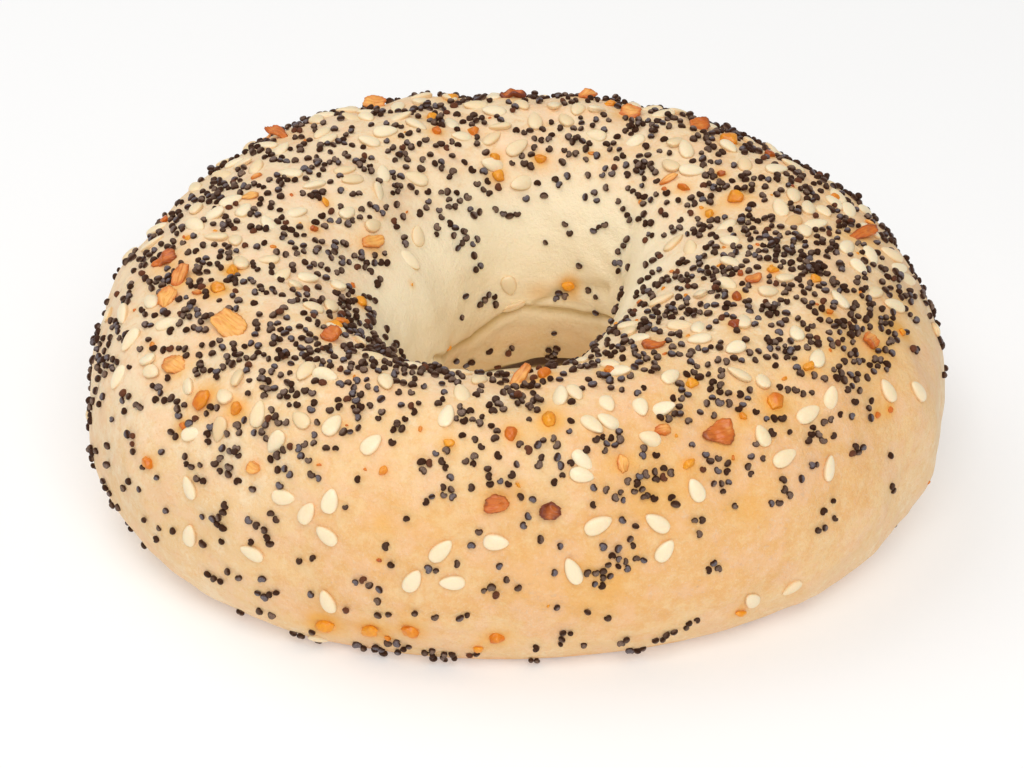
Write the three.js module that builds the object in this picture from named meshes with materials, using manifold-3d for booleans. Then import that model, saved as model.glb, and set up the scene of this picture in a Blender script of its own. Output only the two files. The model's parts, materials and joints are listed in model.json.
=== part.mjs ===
// A baked ring of bread with an everything topping: one crust body and the toppings large enough to stand
// as parts of their own, which are onion flakes, garlic granules and sesame seeds.
// Millimetres, +Z up. The bread rests on its flat base at z = 0 with the hole upright.
// The origin is the middle of the base of the whole bagel's box. +X runs along its longer side.
//
// Every place on the crust is two angles. The ring angle goes round the hole, from +X towards +Y. The section
// angle goes round the dough: 0 is the outer side, 90 the crest, 180 the wall of the hole and 270 the base.

import * as THREE from "three";
import { mergeVertices } from "three/addons/utils/BufferGeometryUtils.js";
import Module from "manifold-3d";

const wasm = await Module();
wasm.setup();

// ---- driving dimensions of the bread, mm ----

const OUTER_RADIUS = 52.5;
const HOLE_RADIUS = 15; // at the throat, the narrowest level of the hole
const CREST_HEIGHT = 34.8;
const OUTER_WAIST_HEIGHT = 13.75; // where the outer side bulges furthest
const THROAT_HEIGHT = 16;
const BASE_DEPTH = 4; // how far the round section would reach below the table, where it is pressed flat
const BASE_EDGE_ROUND = 1.5; // height over which the base turns into the sides

// How full each quarter of the section is: 1 is an ellipse, less is boxier, more is leaner.
const OUTER_TOP_FULLNESS = 0.79;
const INNER_TOP_FULLNESS = 0.85;
const OUTER_BASE_FULLNESS = 0.945;
const INNER_BASE_FULLNESS = 1.35;

// Slow changes round the ring, as [cosine, sine] amplitudes of 1, 2, 3 ... waves a turn.
const OUTER_RADIUS_WAVES = [[-0.64, 1.35], [3.1, -0.72], [0.76, -0.63], [-0.74, 0.45], [-0.18, -0.46]];
const HOLE_RADIUS_WAVES = [[-0.25, -0.6], [-3.0, 3.0]];
const CREST_HEIGHT_WAVES = [[0, 0.4]];
const INNER_FULLNESS_WAVES = [[-0.2, 0]]; // steeper into the hole on the +X side

// Shallow swells that hand shaping leaves in the dough, fading out towards the base.
const DOUGH_SWELLS = [
  { round: 4, over: 2, height: 0.2, phase: 0.6 },
  { round: 7, over: -3, height: 0.15, phase: 2.1 },
  { round: 11, over: 4, height: 0.1, phase: 4.0 },
];
const SWELL_FADE_HEIGHT = 6;

const RING_STEPS = 84;
const SECTION_STEPS = 36;

// ---- driving dimensions of the toppings, mm ----

const SEATING_GAP = 0.3; // between the crust and whatever lies on it
const SESAME = { width: 2.0, thickness: 1.0, rise: 0.45, taper: 0.28 };
const FLAKE = { thickness: 0.8, rise: 0.65, sides: 8, raggedness: 0.12 };
const GRANULE = { thickness: 1.7, rise: 0.55, raggedness: 0.12 };

// How the outlines and knobs vary, in radians of phase: from one piece to the next, and from corner to corner
// of a flake or over the radius of a granule, along each of its axes.
const FLAKE_VARIETY = { perPiece: 2.4, perCorner: 2.7 };
const GRANULE_VARIETY = { perPiece: [1, -1.3, 2], overRadius: [3.1, 2.7, 4.3] };

// Where each one lies: ring angle, section angle and turn in degrees, then length and width.
// The turn is the way its length points, from along the ring towards the crest.
const ONION_FLAKES = [
  [304, 50, 164, 5.0, 4.2],
  [275, 28, 176, 3.0, 2.5],
  [267, 32, 0, 3.3, 2.5],
  [295, 55, 169, 2.4, 1.8],
  [287, 44, 85, 2.4, 1.6],
  [229, 32, 13, 2.2, 1.9],
  [179, 56, 104, 4.3, 2.2],
  [186, 66, 155, 3.9, 2.0],
  [191, 61, 115, 3.6, 2.4],
  [206, 77, 40, 4.9, 4.2],
  [207, 50, 30, 4.0, 2.6],
  [160, 126, 143, 3.9, 2.4],
  [222, 104, 79, 3.0, 2.6],
  [136, 62, 81, 5.6, 2.6],
  [116, 60, 125, 3.4, 2.6],
  [66, 81, 30, 3.2, 2.4],
  [76, 66, 32, 3.0, 2.6],
  [91, 70, 15, 3.3, 2.0],
  [8, 57, 125, 6.2, 1.8],
  [339, 50, 147, 2.9, 2.3],
  [305, 100, 140, 3.2, 2.0],
  [271, 104, 48, 4.6, 1.7],
  [51, 76, 57, 3.2, 2.4],
];
const GARLIC_GRANULES = [
  [316, 54, 0, 2.0, 1.9],
  [247, 335, 13, 2.6, 2.2],
  [254, 340, 8, 2.1, 2.0],
  [240, 332, 24, 2.3, 1.7],
  [267, 335, 0, 2.0, 1.8],
  [276, 70, 90, 2.4, 1.8],
  [216, 48, 90, 2.5, 2.0],
  [223, 51, 90, 1.9, 1.6],
  [194, 79, 60, 2.1, 1.9],
  [44, 77, 65, 2.2, 1.9],
  [24, 100, 61, 2.3, 1.9],
];
// Sesame seeds state only their length: they are all of one width.
const SESAME_SEEDS = [
  [259, 14, 50, 3.7],
  [255, 4, 66, 3.6],
  [260, 4, 176, 3.3],
  [267, 16, 0, 3.2],
  [242, 350, 104, 3.7],
  [242, 14, 146, 3.2],
  [239, 20, 67, 3.2],
  [242, 26, 86, 3.2],
  [231, 2, 170, 3.3],
  [220, 0, 82, 3.4],
  [220, 15, 127, 3.1],
  [235, 23, 7, 3.1],
  [246, 52, 59, 3.1],
  [239, 58, 75, 3.1],
  [278, 7, 114, 3.8],
  [282, 21, 24, 3.7],
  [291, 20, 141, 3.5],
  [292, 10, 53, 3.2],
  [297, 29, 110, 3.2],
  [312, 33, 11, 3.5],
  [318, 23, 69, 3.3],
  [319, 44, 5, 3.6],
  [334, 34, 80, 3.2],
  [339, 27, 111, 3.3],
  [305, 344, 126, 3.6],
];

// ---- the crust ----

// Sum of [cosine, sine] waves at an angle in radians.
function wavesAt(angle, waves) {
  return waves.reduce(
    (sum, [cosine, sine], i) => sum + cosine * Math.cos((i + 1) * angle) + sine * Math.sin((i + 1) * angle),
    0,
  );
}

// Height above the table, with everything under it pressed flat and the edge rounded.
function pressedFlat(height) {
  if (height > BASE_EDGE_ROUND) return height;
  if (height < -BASE_EDGE_ROUND) return 0;
  return (height + BASE_EDGE_ROUND) ** 2 / (4 * BASE_EDGE_ROUND);
}

// The point of the crust at a ring angle and a section angle, in radians.
function crustPoint(ring, section) {
  const outer = OUTER_RADIUS + wavesAt(ring, OUTER_RADIUS_WAVES);
  const hole = HOLE_RADIUS + wavesAt(ring, HOLE_RADIUS_WAVES);
  const crest = CREST_HEIGHT + wavesAt(ring, CREST_HEIGHT_WAVES);
  const across = Math.cos(section);
  const upward = Math.sin(section);
  const outerShare = (1 + across) / 2;
  const waist = OUTER_WAIST_HEIGHT * outerShare + THROAT_HEIGHT * (1 - outerShare);

  let radius = (outer + hole) / 2 + ((outer - hole) / 2) * across;
  let height;
  if (upward >= 0) {
    const inner = INNER_TOP_FULLNESS + wavesAt(ring, INNER_FULLNESS_WAVES);
    const fullness = OUTER_TOP_FULLNESS * outerShare + inner * (1 - outerShare);
    height = waist + (crest - waist) * upward ** fullness;
  } else {
    const fullness = OUTER_BASE_FULLNESS * outerShare + INNER_BASE_FULLNESS * (1 - outerShare);
    height = pressedFlat(waist - (waist + BASE_DEPTH) * (-upward) ** fullness);
  }

  const fade = Math.min(height / SWELL_FADE_HEIGHT, 1);
  const swell = DOUGH_SWELLS.reduce(
    (sum, s) => sum + fade * s.height * Math.sin(s.round * ring + s.over * section + s.phase),
    0,
  );
  radius += swell * across;
  height += swell * upward;
  return new THREE.Vector3(radius * Math.cos(ring), radius * Math.sin(ring), height);
}

// Along the ring, up the section and out of the crust, at a place on it.
function crustDirections(ring, section) {
  const step = 1e-3;
  const along = crustPoint(ring + step, section).sub(crustPoint(ring - step, section)).normalize();
  const up = crustPoint(ring, section + step).sub(crustPoint(ring, section - step)).normalize();
  const out = new THREE.Vector3().crossVectors(along, up).normalize();
  up.crossVectors(out, along);
  return { along, up, out };
}

// The crust as a closed ring of triangles, grown outwards by an even amount.
function crustGeometry(grownBy) {
  const positions = [];
  const index = [];
  for (let i = 0; i < RING_STEPS; i++) {
    for (let j = 0; j < SECTION_STEPS; j++) {
      const ring = (2 * Math.PI * i) / RING_STEPS;
      const section = (2 * Math.PI * j) / SECTION_STEPS;
      const point = crustPoint(ring, section);
      if (grownBy) point.addScaledVector(crustDirections(ring, section).out, grownBy);
      positions.push(point.x, point.y, point.z);

      const a = i * SECTION_STEPS + j;
      const b = ((i + 1) % RING_STEPS) * SECTION_STEPS + j;
      const c = ((i + 1) % RING_STEPS) * SECTION_STEPS + ((j + 1) % SECTION_STEPS);
      const d = i * SECTION_STEPS + ((j + 1) % SECTION_STEPS);
      index.push(a, b, c, a, c, d);
    }
  }
  const geometry = new THREE.BufferGeometry();
  geometry.setAttribute("position", new THREE.BufferAttribute(new Float32Array(positions), 3));
  geometry.setIndex(index);
  geometry.computeVertexNormals();
  return geometry;
}

// ---- solids: cutting a topping's underside to the crust that it lies on ----

function solidOf(geometry) {
  const bare = geometry.clone();
  bare.deleteAttribute("normal");
  bare.deleteAttribute("uv");
  const merged = mergeVertices(bare, 1e-4);
  return new wasm.Manifold(
    new wasm.Mesh({
      numProp: 3,
      vertProperties: new Float32Array(merged.attributes.position.array),
      triVerts: new Uint32Array(merged.index.array),
    }),
  );
}

function geometryOf(solid) {
  const mesh = solid.getMesh();
  const geometry = new THREE.BufferGeometry();
  geometry.setAttribute("position", new THREE.BufferAttribute(new Float32Array(mesh.vertProperties), 3));
  geometry.setIndex(new THREE.BufferAttribute(new Uint32Array(mesh.triVerts), 1));
  geometry.computeVertexNormals();
  return geometry;
}

const SEAT = solidOf(crustGeometry(SEATING_GAP));

// Lays a topping made flat on the XY plane onto the crust, and cuts off what would be inside the dough.
function seated(geometry, [ringDegrees, sectionDegrees, turnDegrees], rise) {
  const ring = THREE.MathUtils.degToRad(ringDegrees);
  const section = THREE.MathUtils.degToRad(sectionDegrees);
  const { along, up, out } = crustDirections(ring, section);
  const place = new THREE.Matrix4()
    .makeBasis(along, up, out)
    .multiply(new THREE.Matrix4().makeRotationZ(THREE.MathUtils.degToRad(turnDegrees)));
  place.setPosition(crustPoint(ring, section).addScaledVector(out, rise));
  return geometryOf(solidOf(geometry.clone().applyMatrix4(place)).subtract(SEAT));
}

// ---- the toppings, each made lying flat about its own middle ----

// A flattened teardrop, pointed towards +X.
function sesameGeometry(length) {
  const geometry = new THREE.SphereGeometry(1, 10, 6);
  geometry.rotateZ(Math.PI / 2);
  const position = geometry.attributes.position;
  for (let i = 0; i < position.count; i++) {
    const x = position.getX(i);
    const narrowing = 1 - SESAME.taper * x;
    position.setXYZ(
      i,
      (x * length) / 2,
      (position.getY(i) * narrowing * SESAME.width) / 2,
      (position.getZ(i) * narrowing * SESAME.thickness) / 2,
    );
  }
  return geometry;
}

// A ragged chip of even thickness. The number sets which of many outlines it gets.
function flakeGeometry(length, width, number) {
  const outline = new THREE.Shape();
  for (let i = 0; i < FLAKE.sides; i++) {
    const angle = (2 * Math.PI * i) / FLAKE.sides;
    const phase = FLAKE_VARIETY.perPiece * number + FLAKE_VARIETY.perCorner * i;
    const reach = 1 - FLAKE.raggedness * (1 + Math.sin(phase));
    const x = (Math.cos(angle) * reach * length) / 2;
    const y = (Math.sin(angle) * reach * width) / 2;
    if (i === 0) outline.moveTo(x, y);
    else outline.lineTo(x, y);
  }
  outline.closePath();
  const geometry = new THREE.ExtrudeGeometry(outline, { depth: FLAKE.thickness, bevelEnabled: false });
  geometry.translate(0, 0, -FLAKE.thickness / 2);
  return geometry;
}

// A knobbly grain. The number sets which of many shapes it gets.
function granuleGeometry(length, width, number) {
  const geometry = new THREE.IcosahedronGeometry(1, 1);
  const position = geometry.attributes.position;
  const corner = new THREE.Vector3();
  const knobAlong = (axis) => {
    const { perPiece, overRadius } = GRANULE_VARIETY;
    return Math.sin(overRadius[axis] * corner.getComponent(axis) + perPiece[axis] * number);
  };
  for (let i = 0; i < position.count; i++) {
    corner.fromBufferAttribute(position, i);
    corner.multiplyScalar(1 + GRANULE.raggedness * (knobAlong(0) * knobAlong(1) + knobAlong(2)));
    position.setXYZ(i, (corner.x * length) / 2, (corner.y * width) / 2, (corner.z * GRANULE.thickness) / 2);
  }
  return geometry;
}

// ---- the bagel ----

const bagel = new THREE.Group();

const crustMaterial = new THREE.MeshStandardMaterial({ color: 0xe8bb80, roughness: 0.6, metalness: 0 });
const sesameMaterial = new THREE.MeshStandardMaterial({ color: 0xf3dcae, roughness: 0.5, metalness: 0 });
const onionMaterial = new THREE.MeshStandardMaterial({ color: 0xc8763a, roughness: 0.55, metalness: 0 });
const garlicMaterial = new THREE.MeshStandardMaterial({ color: 0xe39a3f, roughness: 0.55, metalness: 0 });

function addPart(name, geometry, material) {
  const mesh = new THREE.Mesh(geometry, material);
  mesh.name = name;
  bagel.add(mesh);
}

// Each topping is its own part, numbered from 01 in the order of its list.
function addToppings(name, places, material, rise, shape) {
  places.forEach((place, i) => {
    const number = String(i + 1).padStart(2, "0");
    const [, , , length, width] = place;
    addPart(`${name}_${number}`, seated(shape(length, width, i + 1), place, rise), material);
  });
}

addPart("bread_ring", crustGeometry(0), crustMaterial);
addToppings("onion_flake", ONION_FLAKES, onionMaterial, FLAKE.rise, flakeGeometry);
addToppings("garlic_granule", GARLIC_GRANULES, garlicMaterial, GRANULE.rise, granuleGeometry);
addToppings("sesame_seed", SESAME_SEEDS, sesameMaterial, SESAME.rise, sesameGeometry);

const middle = new THREE.Box3().setFromObject(bagel, true).getCenter(new THREE.Vector3());
bagel.position.set(-middle.x, -middle.y, 0);

export default bagel;
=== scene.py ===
"""Looks of an everything bagel: a baked ring of bread strewn with poppy, sesame, onion and garlic.

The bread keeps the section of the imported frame's ring, at a fineness that shows the dough's own relief. Each
topping that the frame holds gets a detailed piece in its place, and the rest of the seasoning is sown over the
crust by handfuls, with fixed seeds, so every run gives the same bagel.

Lengths inside the classes are millimetres. MM turns them into the scene's metres.
A place on the crust is a ring angle, from +X towards +Y, and a section angle: 0 is the outer side, 90 the crest,
180 the wall of the hole and 270 the base.
"""

from __future__ import annotations

import json
import logging
import math
from collections import defaultdict
from dataclasses import dataclass, field, replace
from enum import Enum
from typing import ClassVar

import bpy
import numpy as np
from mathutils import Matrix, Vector

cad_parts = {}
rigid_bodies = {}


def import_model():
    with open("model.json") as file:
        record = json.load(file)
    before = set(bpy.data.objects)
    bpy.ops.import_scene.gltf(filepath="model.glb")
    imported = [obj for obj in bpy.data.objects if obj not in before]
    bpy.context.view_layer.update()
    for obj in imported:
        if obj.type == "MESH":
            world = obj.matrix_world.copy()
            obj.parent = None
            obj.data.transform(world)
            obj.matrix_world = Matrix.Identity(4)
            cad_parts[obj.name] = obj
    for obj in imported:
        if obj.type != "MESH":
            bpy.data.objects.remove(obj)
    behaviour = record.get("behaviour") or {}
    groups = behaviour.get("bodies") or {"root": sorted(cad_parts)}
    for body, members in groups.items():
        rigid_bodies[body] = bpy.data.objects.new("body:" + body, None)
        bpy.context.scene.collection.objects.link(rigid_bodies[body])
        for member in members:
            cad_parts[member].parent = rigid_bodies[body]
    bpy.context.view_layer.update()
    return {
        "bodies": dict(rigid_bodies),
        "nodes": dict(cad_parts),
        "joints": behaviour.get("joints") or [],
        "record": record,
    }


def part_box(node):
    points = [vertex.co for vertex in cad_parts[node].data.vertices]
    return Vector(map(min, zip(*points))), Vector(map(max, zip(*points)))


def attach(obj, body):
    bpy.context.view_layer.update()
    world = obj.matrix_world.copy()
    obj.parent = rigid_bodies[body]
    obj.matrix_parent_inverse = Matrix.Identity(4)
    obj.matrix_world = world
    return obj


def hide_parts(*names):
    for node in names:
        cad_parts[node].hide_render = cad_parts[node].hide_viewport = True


MM = 0.001
FULL_TURN = 2 * math.pi
Array = np.ndarray
Colour = tuple[float, float, float, float]
Span = tuple[float, float]  # where something starts to show, and where it shows in full
Veil = tuple[float, float, float]  # a span, and how much of what lies under it a veil then hides
WHITE: Colour = (1, 1, 1, 1)
log = logging.getLogger("bagel")


# ---- small mathematics ----


def unit(vectors: Array) -> Array:
    """Returns the vectors scaled to length 1."""
    return vectors / np.maximum(np.linalg.norm(vectors, axis=-1, keepdims=True), 1e-12)


def eased(value: Array, low: float, high: float) -> Array:
    """Returns 0 below low, 1 above high and a smooth step between."""
    share = np.clip((value - low) / (high - low), 0, 1)
    return share * share * (3 - 2 * share)


def turned_apart(a: Array, b: float) -> Array:
    """Returns how far apart two angles in degrees are, from -180 to 180."""
    return (a - b + 180) % 360 - 180


def waves_at(angle: Array, waves: tuple[tuple[float, float], ...]) -> Array:
    """Returns the sum of (cosine, sine) waves of 1, 2, 3 ... to a turn, at an angle in radians."""
    total = np.zeros_like(angle)
    for turns, (cosine, sine) in enumerate(waves, start=1):
        total = total + cosine * np.cos(turns * angle) + sine * np.sin(turns * angle)
    return total


class RandomField:
    """A smooth random field over space, whose values spread about 0 with a deviation of 1."""

    WAVES = 28

    def __init__(self, rng: np.random.Generator, size: float) -> None:
        """Draws the plane waves that the field is the sum of.

        Args:
            rng: source of the random numbers.
            size: usual wavelength.
        """
        lengths = size * rng.uniform(0.7, 1.6, self.WAVES)
        self.waves = unit(rng.normal(size=(self.WAVES, 3))) * (FULL_TURN / lengths)[:, None]
        self.phases = rng.uniform(0, FULL_TURN, self.WAVES)

    def at(self, places: Array) -> Array:
        """Returns the field's value at each place."""
        steps = places.reshape(-1, 3) @ self.waves.T + self.phases
        return (np.sin(steps).sum(1) * math.sqrt(2 / self.WAVES)).reshape(places.shape[:-1])


# ---- meshes ----


@dataclass
class Form:
    """A closed shape: vertices, triangles, and where each triangle's corners are on a unit map."""

    vertices: Array
    triangles: Array
    corners: Array
    rim: Array  # from 0 in the middle of the shape's faces to 1 at its rim, one a vertex

    @classmethod
    def ball(cls, segments: int, bands: int) -> Form:
        """Makes a ball of radius 1, its poles on the x axis.

        Args:
            segments: steps round the x axis.
            bands: steps from pole to pole.

        Returns:
            The ball.
        """
        turn = FULL_TURN * np.arange(segments) / segments
        rows = np.pi * np.arange(1, bands) / bands
        x = np.repeat(np.cos(rows), segments)
        reach = np.repeat(np.sin(rows), segments)
        y, z = reach * np.tile(np.cos(turn), bands - 1), reach * np.tile(np.sin(turn), bands - 1)
        vertices = np.vstack([[1, 0, 0], np.stack([x, y, z], 1), [-1, 0, 0]])
        triangles, corners = [], []
        for band in range(bands):
            for s in range(segments):
                a, b = 1 + (band - 1) * segments + s, 1 + (band - 1) * segments + (s + 1) % segments
                c, d = b + segments, a + segments
                left, right = s / segments, (s + 1) / segments
                top, bottom = band / bands, (band + 1) / bands
                if band == 0:
                    triangles.append((0, d, c))
                    corners.append(((left, top), (left, bottom), (right, bottom)))
                elif band == bands - 1:
                    triangles.append((a, len(vertices) - 1, b))
                    corners.append(((left, top), (left, bottom), (right, top)))
                else:
                    triangles += [(a, d, c), (a, c, b)]
                    corners.append(((left, top), (left, bottom), (right, bottom)))
                    corners.append(((left, top), (right, bottom), (right, top)))
        return cls(vertices, np.array(triangles), np.array(corners), np.zeros(len(vertices)))


class Heap:
    """Shapes that are gathered into one mesh, each with its own tone and its own cell on the map."""

    CELL_MARGIN = 0.08

    def __init__(self) -> None:
        """Starts with nothing."""
        self.vertices: list[Array] = []
        self.triangles: list[Array] = []
        self.corners: list[Array] = []
        self.tones: list[Array] = []
        self.rims: list[Array] = []
        self.own_places: list[Array] = []
        self.count = 0
        self.shapes = 0

    def add(self, form: Form, frames: Array, places: Array, tones: Array) -> None:
        """Adds copies of a shape.

        Args:
            form: the shape.
            frames: one 3 by 3 matrix a copy, whose columns are the copy's x, y and z axes.
            places: one centre a copy.
            tones: one number from 0 to 1 a copy, which the material reads.
        """
        number, size = len(places), len(form.vertices)
        moved = np.einsum("nij,vj->nvi", frames, form.vertices) + places[:, None, :]
        starts = self.count + size * np.arange(number)
        self.vertices.append(moved.reshape(-1, 3))
        self.triangles.append((form.triangles[None] + starts[:, None, None]).reshape(-1, 3))
        self.corners += [form.corners] * number
        self.tones.append(np.repeat(tones, size))
        self.rims.append(np.tile(form.rim, number))
        self.own_places.append(np.tile(form.vertices, (number, 1)))
        self.count += number * size
        self.shapes += number

    def build(self, name: str, finish: Finish) -> bpy.types.Object:
        """Makes the mesh object.

        Args:
            name: the piece's name.
            finish: what it is dressed in.

        Returns:
            The object, smooth shaded, with its material.
        """
        side = math.ceil(math.sqrt(self.shapes))
        inner = 1 - 2 * self.CELL_MARGIN
        uv = [
            (corners * inner + self.CELL_MARGIN + (i % side, i // side)) / side
            for i, corners in enumerate(self.corners)
        ]
        piece = mesh_object(
            name, np.vstack(self.vertices), np.vstack(self.triangles), np.vstack(uv).reshape(-1, 2)
        )
        write_attribute(piece, "tone", np.concatenate(self.tones))
        write_attribute(piece, "rim", np.concatenate(self.rims))
        write_attribute(piece, "own_place", np.vstack(self.own_places))
        piece.data.materials.append(finish.material())
        return piece


def mesh_object(name: str, vertices: Array, faces: Array, corners: Array) -> bpy.types.Object:
    """Makes a smooth mesh object of faces that all have the same number of corners.

    Args:
        name: the object's name.
        vertices: places in millimetres.
        faces: vertex numbers, one row a face.
        corners: map places, one row a face corner.

    Returns:
        The object, linked to the scene.
    """
    sides = faces.shape[1]
    mesh = bpy.data.meshes.new(name)
    mesh.vertices.add(len(vertices))
    mesh.vertices.foreach_set("co", (vertices * MM).astype(np.float32).ravel())
    mesh.loops.add(faces.size)
    mesh.loops.foreach_set("vertex_index", faces.astype(np.int32).ravel())
    mesh.polygons.add(len(faces))
    mesh.polygons.foreach_set("loop_start", np.arange(0, faces.size, sides, dtype=np.int32))
    mesh.polygons.foreach_set("use_smooth", np.ones(len(faces), bool))
    uv_map = mesh.uv_layers.new(name="OFBake")
    uv_map.uv.foreach_set("vector", corners.astype(np.float32).ravel())
    mesh.update(calc_edges=True)
    mesh.validate()
    piece = bpy.data.objects.new(name, mesh)
    bpy.context.scene.collection.objects.link(piece)
    return piece


def write_attribute(piece: bpy.types.Object, name: str, values: Array) -> None:
    """Stores one number or one place a vertex under a name that materials can read."""
    kind, key = ("FLOAT", "value") if values.ndim == 1 else ("FLOAT_VECTOR", "vector")
    layer = piece.data.attributes.new(name, kind, "POINT")
    layer.data.foreach_set(key, values.astype(np.float32).ravel())


def hand_in(piece: bpy.types.Object, slot: str, *nodes: str) -> None:
    """Puts a finished piece on the bagel.

    Args:
        piece: the object.
        slot: the record's material slot that it belongs to. Not used.
        nodes: the CAD nodes that it stands for.
    """
    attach(piece, "root")
    if nodes:
        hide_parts(*nodes)
    log.info("%s: %d faces", piece.name, len(piece.data.polygons))


# ---- material building ----

GRAIN_LAYERS = ((1.0, 0.65), (2.7, 0.35))  # each layer's fineness, against the first, and its share
GRAIN_DETAIL = 3
GRAIN_SPECKS: Span = (0.38, 0.62)
TOASTING_DETAIL = 4
TOASTING_SWING = 1.1
TOASTED: Span = (0.1, 0.65)
SCORCHED: Span = (0.65, 1.1)


class Shading:
    """A short hand for wiring one node tree."""

    def __init__(self, tree: bpy.types.NodeTree) -> None:
        """Takes the tree to add nodes to."""
        self.tree = tree

    def node(self, kind: str, **settings: object) -> bpy.types.Node:
        """Adds a node and gives it its settings.

        Args:
            kind: the node's type.
            settings: properties by name.

        Returns:
            The node.
        """
        made = self.tree.nodes.new(kind)
        for name, value in settings.items():
            setattr(made, name, value)
        return made

    def wire(self, source: bpy.types.NodeSocket, target: bpy.types.NodeSocket) -> None:
        """Joins an output to an input."""
        self.tree.links.new(source, target)

    def feed(self, target: bpy.types.NodeSocket, value: object) -> None:
        """Gives an input a socket to follow, or a constant."""
        if isinstance(value, bpy.types.NodeSocket):
            self.wire(value, target)
        else:
            target.default_value = value

    def attribute(self, name: str) -> bpy.types.NodeSocket:
        """Returns the number stored on the mesh under a name."""
        return self.node("ShaderNodeAttribute", attribute_name=name).outputs["Fac"]

    def own_place(self, stretch: tuple[float, float, float] = (1, 1, 1)) -> bpy.types.NodeSocket:
        """Returns a shape's own coordinates in millimetres, stretched by a factor along each axis."""
        place = self.node("ShaderNodeAttribute", attribute_name="own_place").outputs["Vector"]
        made = self.node("ShaderNodeVectorMath", operation="MULTIPLY")
        self.wire(place, made.inputs[0])
        made.inputs[1].default_value = stretch
        return made.outputs[0]

    def mix(self, share: object, first: object, second: object, blend: str = "MIX") -> bpy.types.NodeSocket:
        """Mixes two colours.

        Args:
            share: how much of the second, as a number or socket.
            first: a colour or socket.
            second: a colour or socket.
            blend: Blender's name for the way of mixing.

        Returns:
            The mixed colour.
        """
        made = self.node("ShaderNodeMix", data_type="RGBA", blend_type=blend, clamp_factor=True)
        self.feed(made.inputs[0], share)
        self.feed(made.inputs[6], first)
        self.feed(made.inputs[7], second)
        return made.outputs[2]

    def sum(self, first: object, second: object, way: str = "ADD") -> bpy.types.NodeSocket:
        """Works out one sum.

        Args:
            first: a number or socket.
            second: a number or socket.
            way: Blender's name for the operation.

        Returns:
            The result.
        """
        made = self.node("ShaderNodeMath", operation=way)
        self.feed(made.inputs[0], first)
        self.feed(made.inputs[1], second)
        return made.outputs[0]

    def ramp(self, value: bpy.types.NodeSocket, *stops: tuple[float, Colour]) -> bpy.types.NodeSocket:
        """Turns a number into a colour.

        Args:
            value: the number.
            stops: positions and their colours, rising.

        Returns:
            The colour.
        """
        made = self.node("ShaderNodeValToRGB")
        made.color_ramp.interpolation = "EASE"
        elements = made.color_ramp.elements
        while len(elements) < len(stops):
            elements.new(0.5)
        for element, (position, colour) in zip(elements, stops):
            element.position, element.color = position, colour
        self.wire(value, made.inputs[0])
        return made.outputs[0]

    def spread(self, value: bpy.types.NodeSocket, low: float, high: float) -> bpy.types.NodeSocket:
        """Stretches the part of a number between low and high to the whole of 0 to 1, smoothly."""
        made = self.node("ShaderNodeMapRange", interpolation_type="SMOOTHSTEP")
        self.wire(value, made.inputs[0])
        made.inputs[1].default_value, made.inputs[2].default_value = low, high
        return made.outputs[0]

    def veil(self, value: bpy.types.NodeSocket, low: float, high: float, share: float) -> bpy.types.NodeSocket:
        """Returns how much a veil hides: nothing where the value is low, and the share where it is high."""
        return self.sum(self.spread(value, low, high), share, "MULTIPLY")

    def swing(self, value: bpy.types.NodeSocket, strength: float) -> bpy.types.NodeSocket:
        """Returns how far a number lies from a half, times a strength."""
        return self.sum(self.sum(value, 0.5, "SUBTRACT"), strength, "MULTIPLY")

    def use(self, group: SurfaceGroup, **values: object) -> bpy.types.Node:
        """Places a shared group with its values, by input name."""
        made = self.node("ShaderNodeGroup", node_tree=group.tree())
        for name, value in values.items():
            self.feed(made.inputs[name], value)
        return made


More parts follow.
